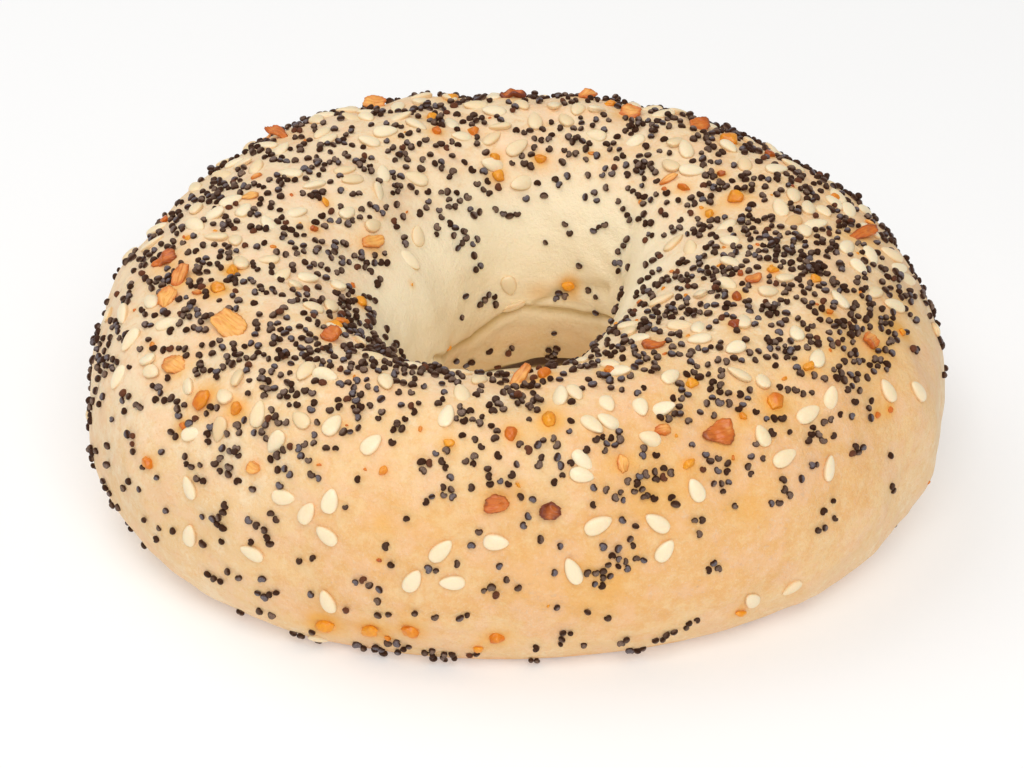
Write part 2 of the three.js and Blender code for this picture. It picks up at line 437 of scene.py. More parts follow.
class SurfaceGroup(Enum):
    """The surface effects that several finishes share, each one shader node group."""

    GRAIN = "fine_grain"
    TOASTING = "toasting"

    def tree(self) -> bpy.types.NodeTree:
        """Returns the group's tree, built on its first use."""
        found = bpy.data.node_groups.get(self.value)
        if found:
            return found
        made = bpy.data.node_groups.new(self.value, "ShaderNodeTree")
        if self is SurfaceGroup.GRAIN:
            self._wire_grain(made)
        else:
            self._wire_toasting(made)
        return made

    @staticmethod
    def _ends(tree: bpy.types.NodeTree, inputs: dict[str, str], outputs: dict[str, str]) -> tuple:
        """Gives a group its sockets.

        Args:
            tree: the group's tree.
            inputs: socket type by name.
            outputs: socket type by name.

        Returns:
            The group's input node and output node.
        """
        for direction, sockets in (("INPUT", inputs), ("OUTPUT", outputs)):
            for name, kind in sockets.items():
                tree.interface.new_socket(name=name, in_out=direction, socket_type=kind)
        return tree.nodes.new("NodeGroupInput"), tree.nodes.new("NodeGroupOutput")

    def _wire_grain(self, tree: bpy.types.NodeTree) -> None:
        """Builds the grain: a speckle mask and a height, at a size given as grains to the metre."""
        number, shade = "NodeSocketFloat", Shading(tree)
        sockets = {"Fineness": number, "Raggedness": number}
        start, end = self._ends(tree, sockets, {"Mask": number, "Height": number})
        place = shade.node("ShaderNodeTexCoord").outputs["Object"]
        heights = []
        for step, share in GRAIN_LAYERS:
            noise = shade.node("ShaderNodeTexNoise")
            noise.inputs["Detail"].default_value = GRAIN_DETAIL
            shade.wire(place, noise.inputs["Vector"])
            shade.wire(shade.sum(start.outputs["Fineness"], step, "MULTIPLY"), noise.inputs["Scale"])
            shade.wire(start.outputs["Raggedness"], noise.inputs["Roughness"])
            heights.append(shade.sum(noise.outputs["Fac"], share, "MULTIPLY"))
        height = shade.sum(heights[0], heights[1])
        shade.wire(height, end.inputs["Height"])
        shade.wire(shade.spread(height, *GRAIN_SPECKS), end.inputs["Mask"])

    def _wire_toasting(self, tree: bpy.types.NodeTree) -> None:
        """Builds the toasting: colour going from raw to toasted to scorched in blotches."""
        number, colour, shade = "NodeSocketFloat", "NodeSocketColor", Shading(tree)
        sockets = {"Raw": colour, "Toasted": colour, "Scorched": colour, "Amount": number, "Blotches": number}
        start, end = self._ends(tree, sockets, {"Colour": colour})
        noise = shade.node("ShaderNodeTexNoise")
        noise.inputs["Detail"].default_value = TOASTING_DETAIL
        shade.wire(shade.node("ShaderNodeTexCoord").outputs["Object"], noise.inputs["Vector"])
        shade.wire(start.outputs["Blotches"], noise.inputs["Scale"])
        amount = shade.sum(start.outputs["Amount"], shade.swing(noise.outputs["Fac"], TOASTING_SWING))
        browned = shade.mix(shade.spread(amount, *TOASTED), start.outputs["Raw"], start.outputs["Toasted"])
        burnt = shade.mix(shade.spread(amount, *SCORCHED), browned, start.outputs["Scorched"])
        shade.wire(burnt, end.inputs["Colour"])


@dataclass(frozen=True)
class Finish:
    """What a surface looks like. Each kind wires its own colour and height into one Principled shader."""

    name: str
    roughness: float = 0.5
    shine: float = 0.5
    coat: float = 0.0
    coat_roughness: float = 0.35
    lit: float = 0.0  # light that the surface gives off by itself
    glow: float = 0.0  # how much light wanders through under the surface
    glow_reach: float = 1.0  # how far it wanders
    glow_radii: tuple[float, float, float] = (1.0, 0.5, 0.25)  # red light wanders further than green and blue
    bump_depth: float = 0.02

    def material(self) -> bpy.types.Material:
        """Returns the finish's material, built on its first use."""
        found = bpy.data.materials.get(self.name)
        if found:
            return found
        made = bpy.data.materials.new(self.name)
        made.use_nodes = True
        shade = Shading(made.node_tree)
        shader = made.node_tree.nodes["Principled BSDF"]
        shader.inputs["Roughness"].default_value = self.roughness
        shader.inputs["Specular IOR Level"].default_value = self.shine
        shader.inputs["Coat Weight"].default_value = self.coat
        shader.inputs["Coat Roughness"].default_value = self.coat_roughness
        shader.inputs["Subsurface Weight"].default_value = self.glow
        shader.inputs["Subsurface Radius"].default_value = self.glow_radii
        shader.inputs["Subsurface Scale"].default_value = self.glow_reach * MM
        shader.inputs["Emission Color"].default_value = WHITE
        shader.inputs["Emission Strength"].default_value = self.lit
        colour, height = self.wire(shade)
        shade.wire(colour, shader.inputs["Base Color"])
        bump = shade.node("ShaderNodeBump")
        bump.inputs["Distance"].default_value = self.bump_depth * MM
        shade.wire(height, bump.inputs["Height"])
        shade.wire(bump.outputs["Normal"], shader.inputs["Normal"])
        return made

    def wire(self, shade: Shading) -> tuple[bpy.types.NodeSocket, bpy.types.NodeSocket]:
        """Wires the finish's own nodes and returns its colour and its height."""
        raise NotImplementedError


@dataclass(frozen=True)
class CrustFinish(Finish):
    """Boiled and baked crust: cream where it is pale, gold where it browned, amber where oil ran, with painted
    shade in its folds and painted light in its hole.
    """

    cream: Colour = (0.925, 0.715, 0.465, 1)
    straw: Colour = (0.875, 0.585, 0.290, 1)
    gold: Colour = (0.83, 0.455, 0.165, 1)
    brown: Colour = (0.47, 0.19, 0.055, 1)
    blush: Colour = (0.93, 0.62, 0.41, 1)
    flour: Colour = (0.95, 0.81, 0.60, 1)
    # the steamed colour of the hole's crust is partly its own and partly painted light that lifts the hole's shade
    steamed_and_brightened: Colour = (0.97, 0.84, 0.585, 1)
    oil: Colour = (0.86, 0.43, 0.075, 1)
    # the fold colour is painted shade, in the creases and at the foot of the hole
    fold: Colour = (0.55, 0.37, 0.13, 1)
    # the gap colour is the painted shadow inside the gaping fold at the foot of the hole
    gap: Colour = (0.085, 0.036, 0.012, 1)
    speckles: float = 1900.0  # grains to the metre
    mottles: float = 640.0
    clouds: float = 190.0
    pores: float = 900.0
    speckle_swing: float = 0.8  # how far the speckles move the browning
    mottle_swing: float = 0.85
    cloud_swing: float = 0.75
    blush_veil: Veil = (0.46, 0.60, 0.42)
    flour_veil: Veil = (0.50, 0.64, 0.28)
    pore_veil: Veil = (0.48, 0.36, 0.40)
    pore_relief: float = 1.5
    # share of the steamed colour, which is partly painted light
    steam_and_light_share: float = 0.85
    # fold values between which the painted shadow of the gaping fold comes in
    painted_shadow_shows: Span = (0.9, 2.0)

    def wire(self, shade: Shading) -> tuple[bpy.types.NodeSocket, bpy.types.NodeSocket]:
        """Wires bake, blush, specks, the hole's paler crust with its painted light, oil, and the painted shade of
        folds over one another.
        """
        speckle = shade.use(SurfaceGroup.GRAIN, Fineness=self.speckles, Raggedness=0.6).outputs["Height"]
        mottle = shade.use(SurfaceGroup.GRAIN, Fineness=self.mottles, Raggedness=0.6).outputs["Height"]
        cloud = shade.use(SurfaceGroup.GRAIN, Fineness=self.clouds, Raggedness=0.5).outputs["Height"]
        bake = shade.attribute("bake")
        for layer, strength in (
            (cloud, self.cloud_swing), (mottle, self.mottle_swing), (speckle, self.speckle_swing)
        ):
            bake = shade.sum(bake, shade.swing(layer, strength))
        colour = shade.ramp(bake, (0.0, self.cream), (0.33, self.straw), (0.66, self.gold), (1.0, self.brown))
        colour = shade.mix(shade.veil(cloud, *self.blush_veil), colour, self.blush)
        colour = shade.mix(shade.veil(speckle, *self.flour_veil), colour, self.flour)
        pore = shade.use(SurfaceGroup.GRAIN, Fineness=self.pores, Raggedness=0.7).outputs["Height"]
        colour = shade.mix(shade.veil(pore, *self.pore_veil), colour, self.gold)
        # the hole's paler crust: steamed dough, lifted further by painted light
        steamed_and_brightened = shade.sum(shade.attribute("steam_and_light"), self.steam_and_light_share, "MULTIPLY")
        colour = shade.mix(steamed_and_brightened, colour, self.steamed_and_brightened)
        colour = shade.mix(shade.attribute("oil"), colour, self.oil)
        # fold holds painted shade in creases and at the foot of the hole, and above 1 the painted shadow of the
        # gaping fold
        fold = shade.attribute("fold")
        colour = shade.mix(fold, colour, self.fold)
        colour = shade.mix(shade.spread(fold, *self.painted_shadow_shows), colour, self.gap)
        height = shade.sum(speckle, shade.sum(pore, self.pore_relief, "MULTIPLY"))
        return colour, height


@dataclass(frozen=True)
class PoppyFinish(Finish):
    """Hull of a poppy seed: a net of ridges round dark pits, with a dull bloom on the seed's broad faces, partly
    the hull's own and partly a painted highlight.
    """

    hull: Colour = (0.052, 0.0150, 0.0035, 1)
    # the pale bloom colour: partly the hull's own, partly a painted highlight on the broad faces
    bloom_and_highlight: Colour = (0.31, 0.205, 0.148, 1)
    slate: Colour = (0.21, 0.180, 0.195, 1)
    rust: Colour = (0.16, 0.05, 0.02, 1)
    pits: float = 6.5  # to the millimetre
    pit_walls: Span = (0.03, 0.30)
    # from the rim to the broad faces, over which the bloom grows as a painted highlight
    faces: Span = (0.85, 0.10)
    bloomed: Span = (0.05, 0.75)  # the tones of seeds with a bloom, with a slaty one, and of rusty seeds
    slaty: Span = (0.62, 0.80)
    rusty: Span = (0.95, 0.99)

    def wire(self, shade: Shading) -> tuple[bpy.types.NodeSocket, bpy.types.NodeSocket]:
        """Wires the net, and the bloom over it by the seed's tone, paler on the broad faces as a painted
        highlight.
        """
        net = shade.node("ShaderNodeTexVoronoi", feature="DISTANCE_TO_EDGE")
        shade.wire(shade.own_place(), net.inputs["Vector"])
        net.inputs["Scale"].default_value = self.pits
        pit = shade.spread(net.outputs["Distance"], *self.pit_walls)
        ridge = shade.sum(1.0, pit, "SUBTRACT")
        tone = shade.attribute("tone")
        # the broad faces, which mostly lie facing up, get more bloom: a painted highlight
        face = shade.spread(shade.attribute("rim"), *self.faces)
        bloom_and_highlight = shade.sum(shade.spread(tone, *self.bloomed), face, "MULTIPLY")
        bloom_and_highlight = shade.sum(bloom_and_highlight, shade.sum(shade.sum(ridge, 0.5, "MULTIPLY"), 0.5), "MULTIPLY")
        faced = shade.mix(shade.spread(tone, *self.slaty), self.bloom_and_highlight, self.slate)
        colour = shade.mix(bloom_and_highlight, self.hull, faced)
        colour = shade.mix(shade.spread(tone, *self.rusty), colour, self.rust)
        return colour, ridge


@dataclass(frozen=True)
class SesameFinish(Finish):
    """Hull of a sesame seed: paler or browner by the seed's tone, with a toasted rim."""

    pale: Colour = (0.945, 0.795, 0.54, 1)
    dark: Colour = (0.88, 0.67, 0.39, 1)
    toasted: Colour = (0.72, 0.41, 0.15, 1)
    grain: float = 2600.0
    blotches: float = 0.8
    darker: Span = (0.0, 0.85)  # the tones of the darker seeds, and of toasted ones
    browned: Span = (0.86, 0.98)
    rim_veil: Veil = (0.30, 1.0, 0.6)

    def wire(self, shade: Shading) -> tuple[bpy.types.NodeSocket, bpy.types.NodeSocket]:
        """Wires tone, rim and fine lines along the seed."""
        grain = shade.use(SurfaceGroup.GRAIN, Fineness=self.grain, Raggedness=0.6)
        tone = shade.attribute("tone")
        blotch = shade.swing(grain.outputs["Height"], self.blotches)
        colour = shade.mix(shade.spread(shade.sum(tone, blotch), *self.darker), self.pale, self.dark)
        colour = shade.mix(shade.spread(tone, *self.browned), colour, self.toasted)
        colour = shade.mix(shade.veil(shade.attribute("rim"), *self.rim_veil), colour, self.toasted)
        return colour, grain.outputs["Height"]


@dataclass(frozen=True)
class DriedFinish(Finish):
    """Dried onion or garlic: raw, toasted and scorched by the piece's tone, with fibres along it."""

    raw: Colour = (1, 1, 1, 1)
    toasted: Colour = (0.5, 0.5, 0.5, 1)
    scorched: Colour = (0, 0, 0, 1)
    groove: Colour = (0.80, 0.52, 0.32, 1)
    blotches: float = 500.0
    fibres: tuple[float, float, float] = (0.5, 3.0, 0.8)  # to the millimetre, along, across and through it
    fibre_depth: float = 0.5
    grooves: Span = (0.54, 0.34)
    rim_veil: Veil = (0.55, 1.0, 0.22)  # how much further its rim is toasted

    def wire(self, shade: Shading) -> tuple[bpy.types.NodeSocket, bpy.types.NodeSocket]:
        """Wires the shared toasting, darker at the rim and between the fibres."""
        fibre = shade.node("ShaderNodeTexNoise")
        shade.wire(shade.own_place(self.fibres), fibre.inputs["Vector"])
        fibre.inputs["Scale"].default_value = 1.0
        fibre.inputs["Detail"].default_value = 3
        rim = shade.veil(shade.attribute("rim"), *self.rim_veil)
        toast = shade.use(
            SurfaceGroup.TOASTING,
            Raw=self.raw,
            Toasted=self.toasted,
            Scorched=self.scorched,
            Amount=shade.sum(shade.attribute("tone"), rim),
            Blotches=self.blotches,
        )
        grooves = shade.veil(fibre.outputs["Fac"], *self.grooves, self.fibre_depth)
        colour = shade.mix(grooves, toast.outputs["Colour"], self.groove, "MULTIPLY")
        return colour, fibre.outputs["Fac"]


@dataclass(frozen=True)
class FloorFinish(Finish):
    """Plain pale studio floor, which gives off painted warm bounce light where it lies in the hole."""

    tone: Colour = (0.72, 0.72, 0.72, 1)
    painted_bread_bounce: Colour = (1.0, 0.83, 0.50, 1)  # painted bounce light: what the floor gives off in the hole, where bread is all round it
    shade_from: float = 0.022  # metres from the middle: nearer, the floor lies in the hole
    shade_to: float = 0.040
    speck: Colour = (0.7, 0.7, 0.7, 1)
    speck_share: float = 0.02
    specks: float = 40.0  # to the metre

    def wire(self, shade: Shading) -> tuple[bpy.types.NodeSocket, bpy.types.NodeSocket]:
        """Wires an even colour with the faintest grain, and its own light by how far out the place is, painted
        warm bounce light in the hole.
        """
        distance = shade.node("ShaderNodeVectorMath", operation="LENGTH")
        shade.wire(shade.node("ShaderNodeTexCoord").outputs["Object"], distance.inputs[0])
        lit = shade.spread(distance.outputs["Value"], self.shade_from, self.shade_to)
        shader = shade.tree.nodes["Principled BSDF"]
        # in the hole the floor gives off painted bounce light from the bread
        shade.wire(shade.mix(lit, self.painted_bread_bounce, WHITE), shader.inputs["Emission Color"])
        grain = shade.use(SurfaceGroup.GRAIN, Fineness=self.specks, Raggedness=0.5)
        speckled = shade.sum(grain.outputs["Mask"], self.speck_share, "MULTIPLY")
        colour = shade.mix(speckled, self.tone, self.speck)
        return colour, grain.outputs["Height"]


CRUST = CrustFinish("baked_crust", roughness=0.6, shine=0.32, glow=0.08, glow_reach=1.0, bump_depth=0.13)
POPPY = PoppyFinish("poppy_hull", roughness=0.45, shine=0.22, bump_depth=0.05)
SESAME = SesameFinish("sesame_hull", roughness=0.42, coat=0.08, glow=0.15, glow_reach=0.4, bump_depth=0.03)
ONION = DriedFinish(
    "dried_onion", roughness=0.42, coat=0.12, glow=0.1, glow_reach=0.5, bump_depth=0.12,
    raw=(0.93, 0.47, 0.115, 1), toasted=(0.66, 0.165, 0.014, 1), scorched=(0.18, 0.028, 0.004, 1),
    blotches=450.0, fibre_depth=0.6,
)
GARLIC = DriedFinish(
    "dried_garlic", roughness=0.4, coat=0.1, glow=0.1, glow_reach=0.5, bump_depth=0.08,
    raw=(0.87, 0.35, 0.014, 1), toasted=(0.68, 0.16, 0.005, 1), scorched=(0.30, 0.050, 0.004, 1),
    blotches=350.0, fibres=(1.6, 1.6, 1.6), fibre_depth=0.35,
)
FLOOR = FloorFinish("studio_floor", roughness=0.8, shine=0.1, lit=0.28, bump_depth=0.01)


# ---- the bread ----


@dataclass(frozen=True)
class DoughShape:
    """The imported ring's own section and outline."""

    outer_radius: float = 52.5
    hole_radius: float = 15.0
    crest_height: float = 34.8
    outer_waist_height: float = 13.75
    throat_height: float = 16.0
    base_depth: float = 4.0
    base_edge_round: float = 1.5
    outer_top_fullness: float = 0.79
    inner_top_fullness: float = 0.85
    outer_base_fullness: float = 0.945
    inner_base_fullness: float = 1.35
    outer_waves: tuple = ((-0.64, 1.35), (3.1, -0.72), (0.76, -0.63), (-0.74, 0.45), (-0.18, -0.46))
    hole_waves: tuple = ((-0.25, -0.6), (-3.0, 3.0))
    crest_waves: tuple = ((0.0, 0.4),)
    inner_fullness_waves: tuple = ((-0.2, 0.0),)
    swells: tuple = ((4, 2, 0.2, 0.6), (7, -3, 0.15, 2.1), (11, 4, 0.1, 4.0))  # round, over, height, phase
    swell_fade_height: float = 6.0

    @property
    def fold_radius(self) -> float:
        """Returns the radius of the ring of dough that the folds run along."""
        return self.hole_radius + 2

    def points(self, ring: Array, section: Array) -> Array:
        """Returns the crust's places.

        Args:
            ring: ring angles, in radians.
            section: section angles, in radians.

        Returns:
            One place for each pair of angles.
        """
        outer = self.outer_radius + waves_at(ring, self.outer_waves)
        hole = self.hole_radius + waves_at(ring, self.hole_waves)
        crest = self.crest_height + waves_at(ring, self.crest_waves)
        across, upward = np.cos(section), np.sin(section)
        outer_share = (1 + across) / 2
        waist = self.outer_waist_height * outer_share + self.throat_height * (1 - outer_share)
        inner = self.inner_top_fullness + waves_at(ring, self.inner_fullness_waves)
        top = self.outer_top_fullness * outer_share + inner * (1 - outer_share)
        base = self.outer_base_fullness * outer_share + self.inner_base_fullness * (1 - outer_share)
        lift = np.abs(upward)
        above = waist + (crest - waist) * lift**top
        below = self.pressed_flat(waist - (waist + self.base_depth) * lift**base)
        height = np.where(upward >= 0, above, below)
        radius = (outer + hole) / 2 + (outer - hole) / 2 * across
        fade = np.minimum(height / self.swell_fade_height, 1)
        for turns, over, rise, phase in self.swells:
            swell = fade * rise * np.sin(turns * ring + over * section + phase)
            radius, height = radius + swell * across, height + swell * upward
        return np.stack([radius * np.cos(ring), radius * np.sin(ring), height], -1)

    def pressed_flat(self, height: Array) -> Array:
        """Returns the height over the table with all below it pressed flat and the edge rounded."""
        edge = self.base_edge_round
        rounded = (height + edge) ** 2 / (4 * edge)
        return np.where(height > edge, height, np.where(height < -edge, 0.0, rounded))


@dataclass(frozen=True)
class Patch:
    """A soft-edged patch of crust, with how strongly something shows there."""

    ring: float
    section: float
    ring_spread: float
    section_spread: float
    strength: float

    def at(self, ring: Array, section: Array) -> Array:
        """Returns the patch's strength at angles in degrees."""
        across = turned_apart(ring, self.ring) / self.ring_spread
        over = turned_apart(section, self.section) / self.section_spread
        return self.strength * np.exp(-(across**2 + over**2) / 2)


@dataclass(frozen=True)
class Fold:
    """A crease where two lips of dough were pressed together, along places on the crust in degrees."""

    route: tuple[tuple[float, float], ...]
    depth: float
    width: float
    lip: float
    painted_shadow: float = 0.0  # how dark the painted shadow inside a gaping fold is at its middle

    SECTION_RADIUS: ClassVar[float] = 17.0  # of the bread, which turns section angles into lengths
    LIP_OFFSET: ClassVar[float] = 1.9  # how far its lip lies from the crease, and how broad it is, in widths
    LIP_BREADTH: ClassVar[float] = 1.6

    def distances(self, ring: Array, section: Array, reach: float) -> Array:
        """Returns how far places are from the crease.

        Args:
            ring: ring angles, in degrees.
            section: section angles, in degrees.
            reach: radius of the ring of dough there, which turns ring angles into lengths.

        Returns:
            Signed distances: positive on the side of the smaller section angles.
        """
        scale = np.array([reach, self.SECTION_RADIUS]) * math.pi / 180
        route = np.array(self.route) * scale
        places = np.stack([ring, section], -1) * scale
        best = np.full(ring.shape, 1e9)
        side = np.ones(ring.shape)
        for a, b in zip(route[:-1], route[1:]):
            along = b - a
            share = np.clip(((places - a) @ along) / (along @ along), 0, 1)
            off = places - (a + share[..., None] * along)
            distance = np.linalg.norm(off, axis=-1)
            nearer = distance < best
            best = np.where(nearer, distance, best)
            side = np.where(nearer, np.where(off[..., 1] < 0, 1.0, -1.0), side)
        return best * side

    def painted_shadow_along(self, ring: Array) -> Array:
        """Returns how dark the painted shadow inside the fold is at ring angles in degrees: it fades out towards
        the ends.
        """
        first, last = self.route[0][0], self.route[-1][0]
        off_middle = (2 * ring - first - last) / (last - first)
        return self.painted_shadow * np.clip(1 - off_middle**2, 0, 1)


@dataclass
class Laid:
    """Places on the crust: where each is, and the directions along the ring, up the section and outwards."""

    points: Array
    along: Array
    up: Array
    out: Array
    ring_length: Array  # how far a radian of ring angle goes there
    section_length: Array

    def frames(self, turns: Array, tilts: Array | None = None, leans: Array | None = None) -> Array:
        """Returns axes for things that lie there.

        Args:
            turns: how far each is turned about the outward direction, in radians.
            tilts: how far each then tips about its own length, in radians.
            leans: how far each then lifts its own tip, in radians.

        Returns:
            One 3 by 3 matrix a thing.
        """
        cosine, sine = np.cos(turns)[:, None], np.sin(turns)[:, None]
        x = cosine * self.along + sine * self.up
        y = cosine * self.up - sine * self.along
        z = self.out
        if tilts is not None:
            cosine, sine = np.cos(tilts)[:, None], np.sin(tilts)[:, None]
            y, z = cosine * y + sine * z, cosine * z - sine * y
        if leans is not None:
            cosine, sine = np.cos(leans)[:, None], np.sin(leans)[:, None]
            x, z = cosine * x + sine * z, cosine * z - sine * x
        return np.stack([x, y, z], -1)

    def tipped(self, along: float, up: float) -> Laid:
        """Returns the same places, their outward directions leaned by slopes along the ring and up the section."""
        out = unit(self.out + along * self.along + up * self.up)
        forward = unit(self.along - (self.along * out).sum(-1, keepdims=True) * out)
        return replace(self, out=out, along=forward, up=np.cross(out, forward))


@dataclass(frozen=True)
class Halo:
    """Oil that a topping lets into the crust round it. It reaches a share of the topping's length and a margin."""

    share: float
    margin: float
    strength: float


@dataclass
class BreadRing:
    """The bread: its fine surface, and the look-up of places on it for the toppings."""

    shape: DoughShape = field(default_factory=DoughShape)
    ring_steps: int = 448
    section_steps: int = 220
    undulation: tuple[float, float] = (0.20, 14.0)  # height and size of the soft unevenness of the dough
    ripple: tuple[float, float] = (0.055, 3.6)
    pucker: float = 0.35  # depth of the puckers at the foot of the hole
    pucker_count: int = 9
    pucker_section: float = 222
    pucker_spread: float = 20
    relief_fades: Span = (0.2, 4.0)  # heights over the table, between which the relief comes in
    folds: tuple[Fold, ...] = (
        Fold(
            ((162, 183), (145, 192), (128, 198), (112, 200), (98, 193),
             (88, 188), (76, 191), (62, 191), (46, 184)),
            depth=0.55, width=0.55, lip=0.16,
        ),
        Fold(((82, 186), (74, 179), (64, 176), (50, 174)), depth=0.35, width=0.5, lip=0.14),
        Fold(((205, 236), (190, 229), (172, 226), (150, 232)), depth=0.5, width=0.5, lip=0.25),
        Fold(((350, 232), (330, 224), (312, 222), (290, 229)), depth=0.5, width=0.5, lip=0.25),
        # this fold gapes, and its inside carries a painted shadow
        Fold(
            ((112, 240), (100, 236), (92, 233), (84, 230), (74, 229), (60, 231)),
            depth=1.9, width=1.2, lip=0.1, painted_shadow=1.0,
        ),
    )
    golden: tuple[Patch, ...] = (
        Patch(272, 66, 36, 26, 0.22),
        Patch(270, 0, 42, 28, 0.42),
        Patch(308, 34, 24, 26, 0.40),
        Patch(346, -2, 15, 20, -0.18),
        Patch(165, 62, 48, 48, -0.18),
        Patch(60, 20, 50, 26, 0.22),
        Patch(120, 10, 40, 22, 0.10),
        # the last patch browns the foot of the hole as painted shade
        Patch(88, 214, 50, 18, 0.15),
    )
    spilt_oil: tuple[Patch, ...] = (
        Patch(291, 31, 4.5, 8, 0.70),
        Patch(282.5, 2, 3.4, 8, 0.5),
        Patch(304, 20, 2.4, 4.5, 0.55),
        Patch(338, 52, 7, 10, 0.40),
        Patch(273, 5, 3.5, 7, 0.30),
        Patch(68, 178, 2.6, 3.4, 0.90),
        Patch(80, 180, 4, 3, 0.45),
        Patch(249.8, 20.5, 1.3, 3, 0.50),
        Patch(347, 41, 1.6, 4, 0.55),
        Patch(354, 42, 2.2, 5, 0.35),
        Patch(255, 22, 6, 9, 0.20),
        Patch(150, 30, 7, 9, 0.25),
        Patch(30, 35, 6, 9, 0.25),
        Patch(95, 60, 5, 8, 0.25),
    )
    hollow: Patch = Patch(86, 216, 60, 18, 0.34)  # shade at the foot of the hole
    tint_size: float = 22.0
    fine_tint_size: float = 5.0
    browning: float = 0.14  # of the bare crust, how much it varies, and the most that its patches make of it
    browning_swing: float = 0.035
    browning_fine_swing: float = 0.03
    browning_limit: float = 0.60
    tray_browning: float = 0.62  # of the base, which lay on the tray
    tray_swing: float = 0.05
    tray_fineness: float = 1.7
    tray_fades: Span = (0.0, 2.4)  # heights over the table
    low_fades: Span = (1.5, 4.0)
    wall_starts: Span = (125, 165)  # section angles between which the hole's wall starts and ends
    wall_ends: Span = (190, 222)
    steam_starts: Span = (116, 150)  # section angles of the steamed crust, also painted lighter to lift the hole's shade, which is less so near its foot
    steam_thins: Span = (180, 212)
    steam_ends: Span = (232, 250)
    paler_inside: float = 0.6  # share of the browning that the hole keeps off
    paler_foot: float = 0.8  # share of the steaming and its painted light that the foot of the hole is spared
    oil_swing: float = 0.25
    oil_limit: float = 0.85
    # painted shade along the folds' creases, and how wide it reaches
    crease_shade: float = 0.9
    crease_shade_width: float = 1.1  # in widths of the fold
    crease_full_depth: float = 0.7  # a fold this deep gets its painted shade in full

    def __post_init__(self) -> None:
        """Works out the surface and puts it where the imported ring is."""
        rng = np.random.default_rng(20)
        ring = FULL_TURN * np.arange(self.ring_steps) / self.ring_steps
        section = FULL_TURN * np.arange(self.section_steps) / self.section_steps
        self.ring, self.section = np.meshgrid(ring, section, indexing="ij")
        smooth = self.shape.points(self.ring, self.section)
        low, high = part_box("bread_ring")
        centre = np.array((low + high) / 2) / MM
        middle = (smooth.min((0, 1)) + smooth.max((0, 1))) / 2
        smooth += [centre[0] - middle[0], centre[1] - middle[1], 0]
        self.points = smooth + self.relief(smooth, rng)[..., None] * self.outward(smooth)
        self.points[..., 2] = np.maximum(self.points[..., 2], 0)
        self.out = self.outward(self.points)
        self.tint = RandomField(rng, self.tint_size)
        self.fine_tint = RandomField(rng, self.fine_tint_size)
        self.oil_halos: list[tuple[Array, float, float]] = []

    @staticmethod
    def steps(points: Array) -> tuple[Array, Array]:
        """Returns the steps along the ring and up the section, per grid step."""
        along = (np.roll(points, -1, 0) - np.roll(points, 1, 0)) / 2
        up = (np.roll(points, -1, 1) - np.roll(points, 1, 1)) / 2
        return along, up

    def outward(self, points: Array) -> Array:
        """Returns the outward direction at each place of the grid."""
        along, up = self.steps(points)
        return unit(np.cross(along, up))

    def relief(self, smooth: Array, rng: np.random.Generator) -> Array:
        """Works out the dough's unevenness.

        Args:
            smooth: the even surface.
            rng: source of the random numbers.

        Returns:
            How far each place stands out of the even surface.
        """
        ring, section = np.degrees(self.ring), np.degrees(self.section)
        rise = self.undulation[0] * RandomField(rng, self.undulation[1]).at(smooth)
        rise += self.ripple[0] * RandomField(rng, self.ripple[1]).at(smooth)
        low_hole = np.exp(-(((section - self.pucker_section) / self.pucker_spread) ** 2))
        puckers = np.sin(self.pucker_count * self.ring + 1.3 * np.sin(2 * self.ring) + 0.05 * section)
        rise += self.pucker * low_hole * np.minimum(puckers, 0.3) * (0.7 + 0.3 * np.sin(3 * self.ring + 1))
        for fold in self.folds:
            away = fold.distances(ring, section, self.shape.fold_radius)
            rise -= fold.depth * np.exp(-((away / fold.width) ** 2))
            off_lip = (away + fold.LIP_OFFSET * fold.width) / (fold.LIP_BREADTH * fold.width)
            rise += fold.lip * np.exp(-(off_lip**2))
        return rise * eased(smooth[..., 2], *self.relief_fades)

    def lay(self, ring: Array, section: Array) -> Laid:
        """Looks places up.

        Args:
            ring: ring angles, in radians.
            section: section angles, in radians.

        Returns:
            The places and their directions.
        """
        i = ring / FULL_TURN * self.ring_steps
        j = section / FULL_TURN * self.section_steps
        i0, j0 = np.floor(i).astype(int), np.floor(j).astype(int)
        fi, fj = (i - i0)[:, None], (j - j0)[:, None]
        i0, j0 = i0 % self.ring_steps, j0 % self.section_steps
        i1, j1 = (i0 + 1) % self.ring_steps, (j0 + 1) % self.section_steps
        a, b = self.points[i0, j0], self.points[i1, j0]
        c, d = self.points[i1, j1], self.points[i0, j1]
        points = (a * (1 - fi) + b * fi) * (1 - fj) + (d * (1 - fi) + c * fi) * fj
        step_along = (b - a) * (1 - fj) + (c - d) * fj
        step_up = (d - a) * (1 - fi) + (c - b) * fi
        out = unit(self.out[i0, j0] + self.out[i1, j1])
        along = unit(step_along)
        return Laid(
            points,
            along,
            unit(np.cross(out, along)),
            out,
            np.linalg.norm(step_along, axis=1) * self.ring_steps / FULL_TURN,
            np.linalg.norm(step_up, axis=1) * self.section_steps / FULL_TURN,
        )

    def nearest(self, place: Array) -> tuple[float, float]:
        """Returns the ring angle and the section angle, in radians, of the crust nearest to a place."""
        gaps = ((self.points - place) ** 2).sum(-1)
        i, j = np.unravel_index(gaps.argmin(), gaps.shape)
        return float(self.ring[i, j]), float(self.section[i, j])

    def areas(self) -> Array:
        """Returns the area of crust that each place of the grid stands for."""
        along, up = self.steps(self.points)
        return np.linalg.norm(np.cross(along, up), axis=-1)

    def stain(self, place: Array, length: float, halo: Halo) -> None:
        """Lets oil run from a topping of some length into the crust round it."""
        self.oil_halos.append((place, halo.share * length + halo.margin, halo.strength))

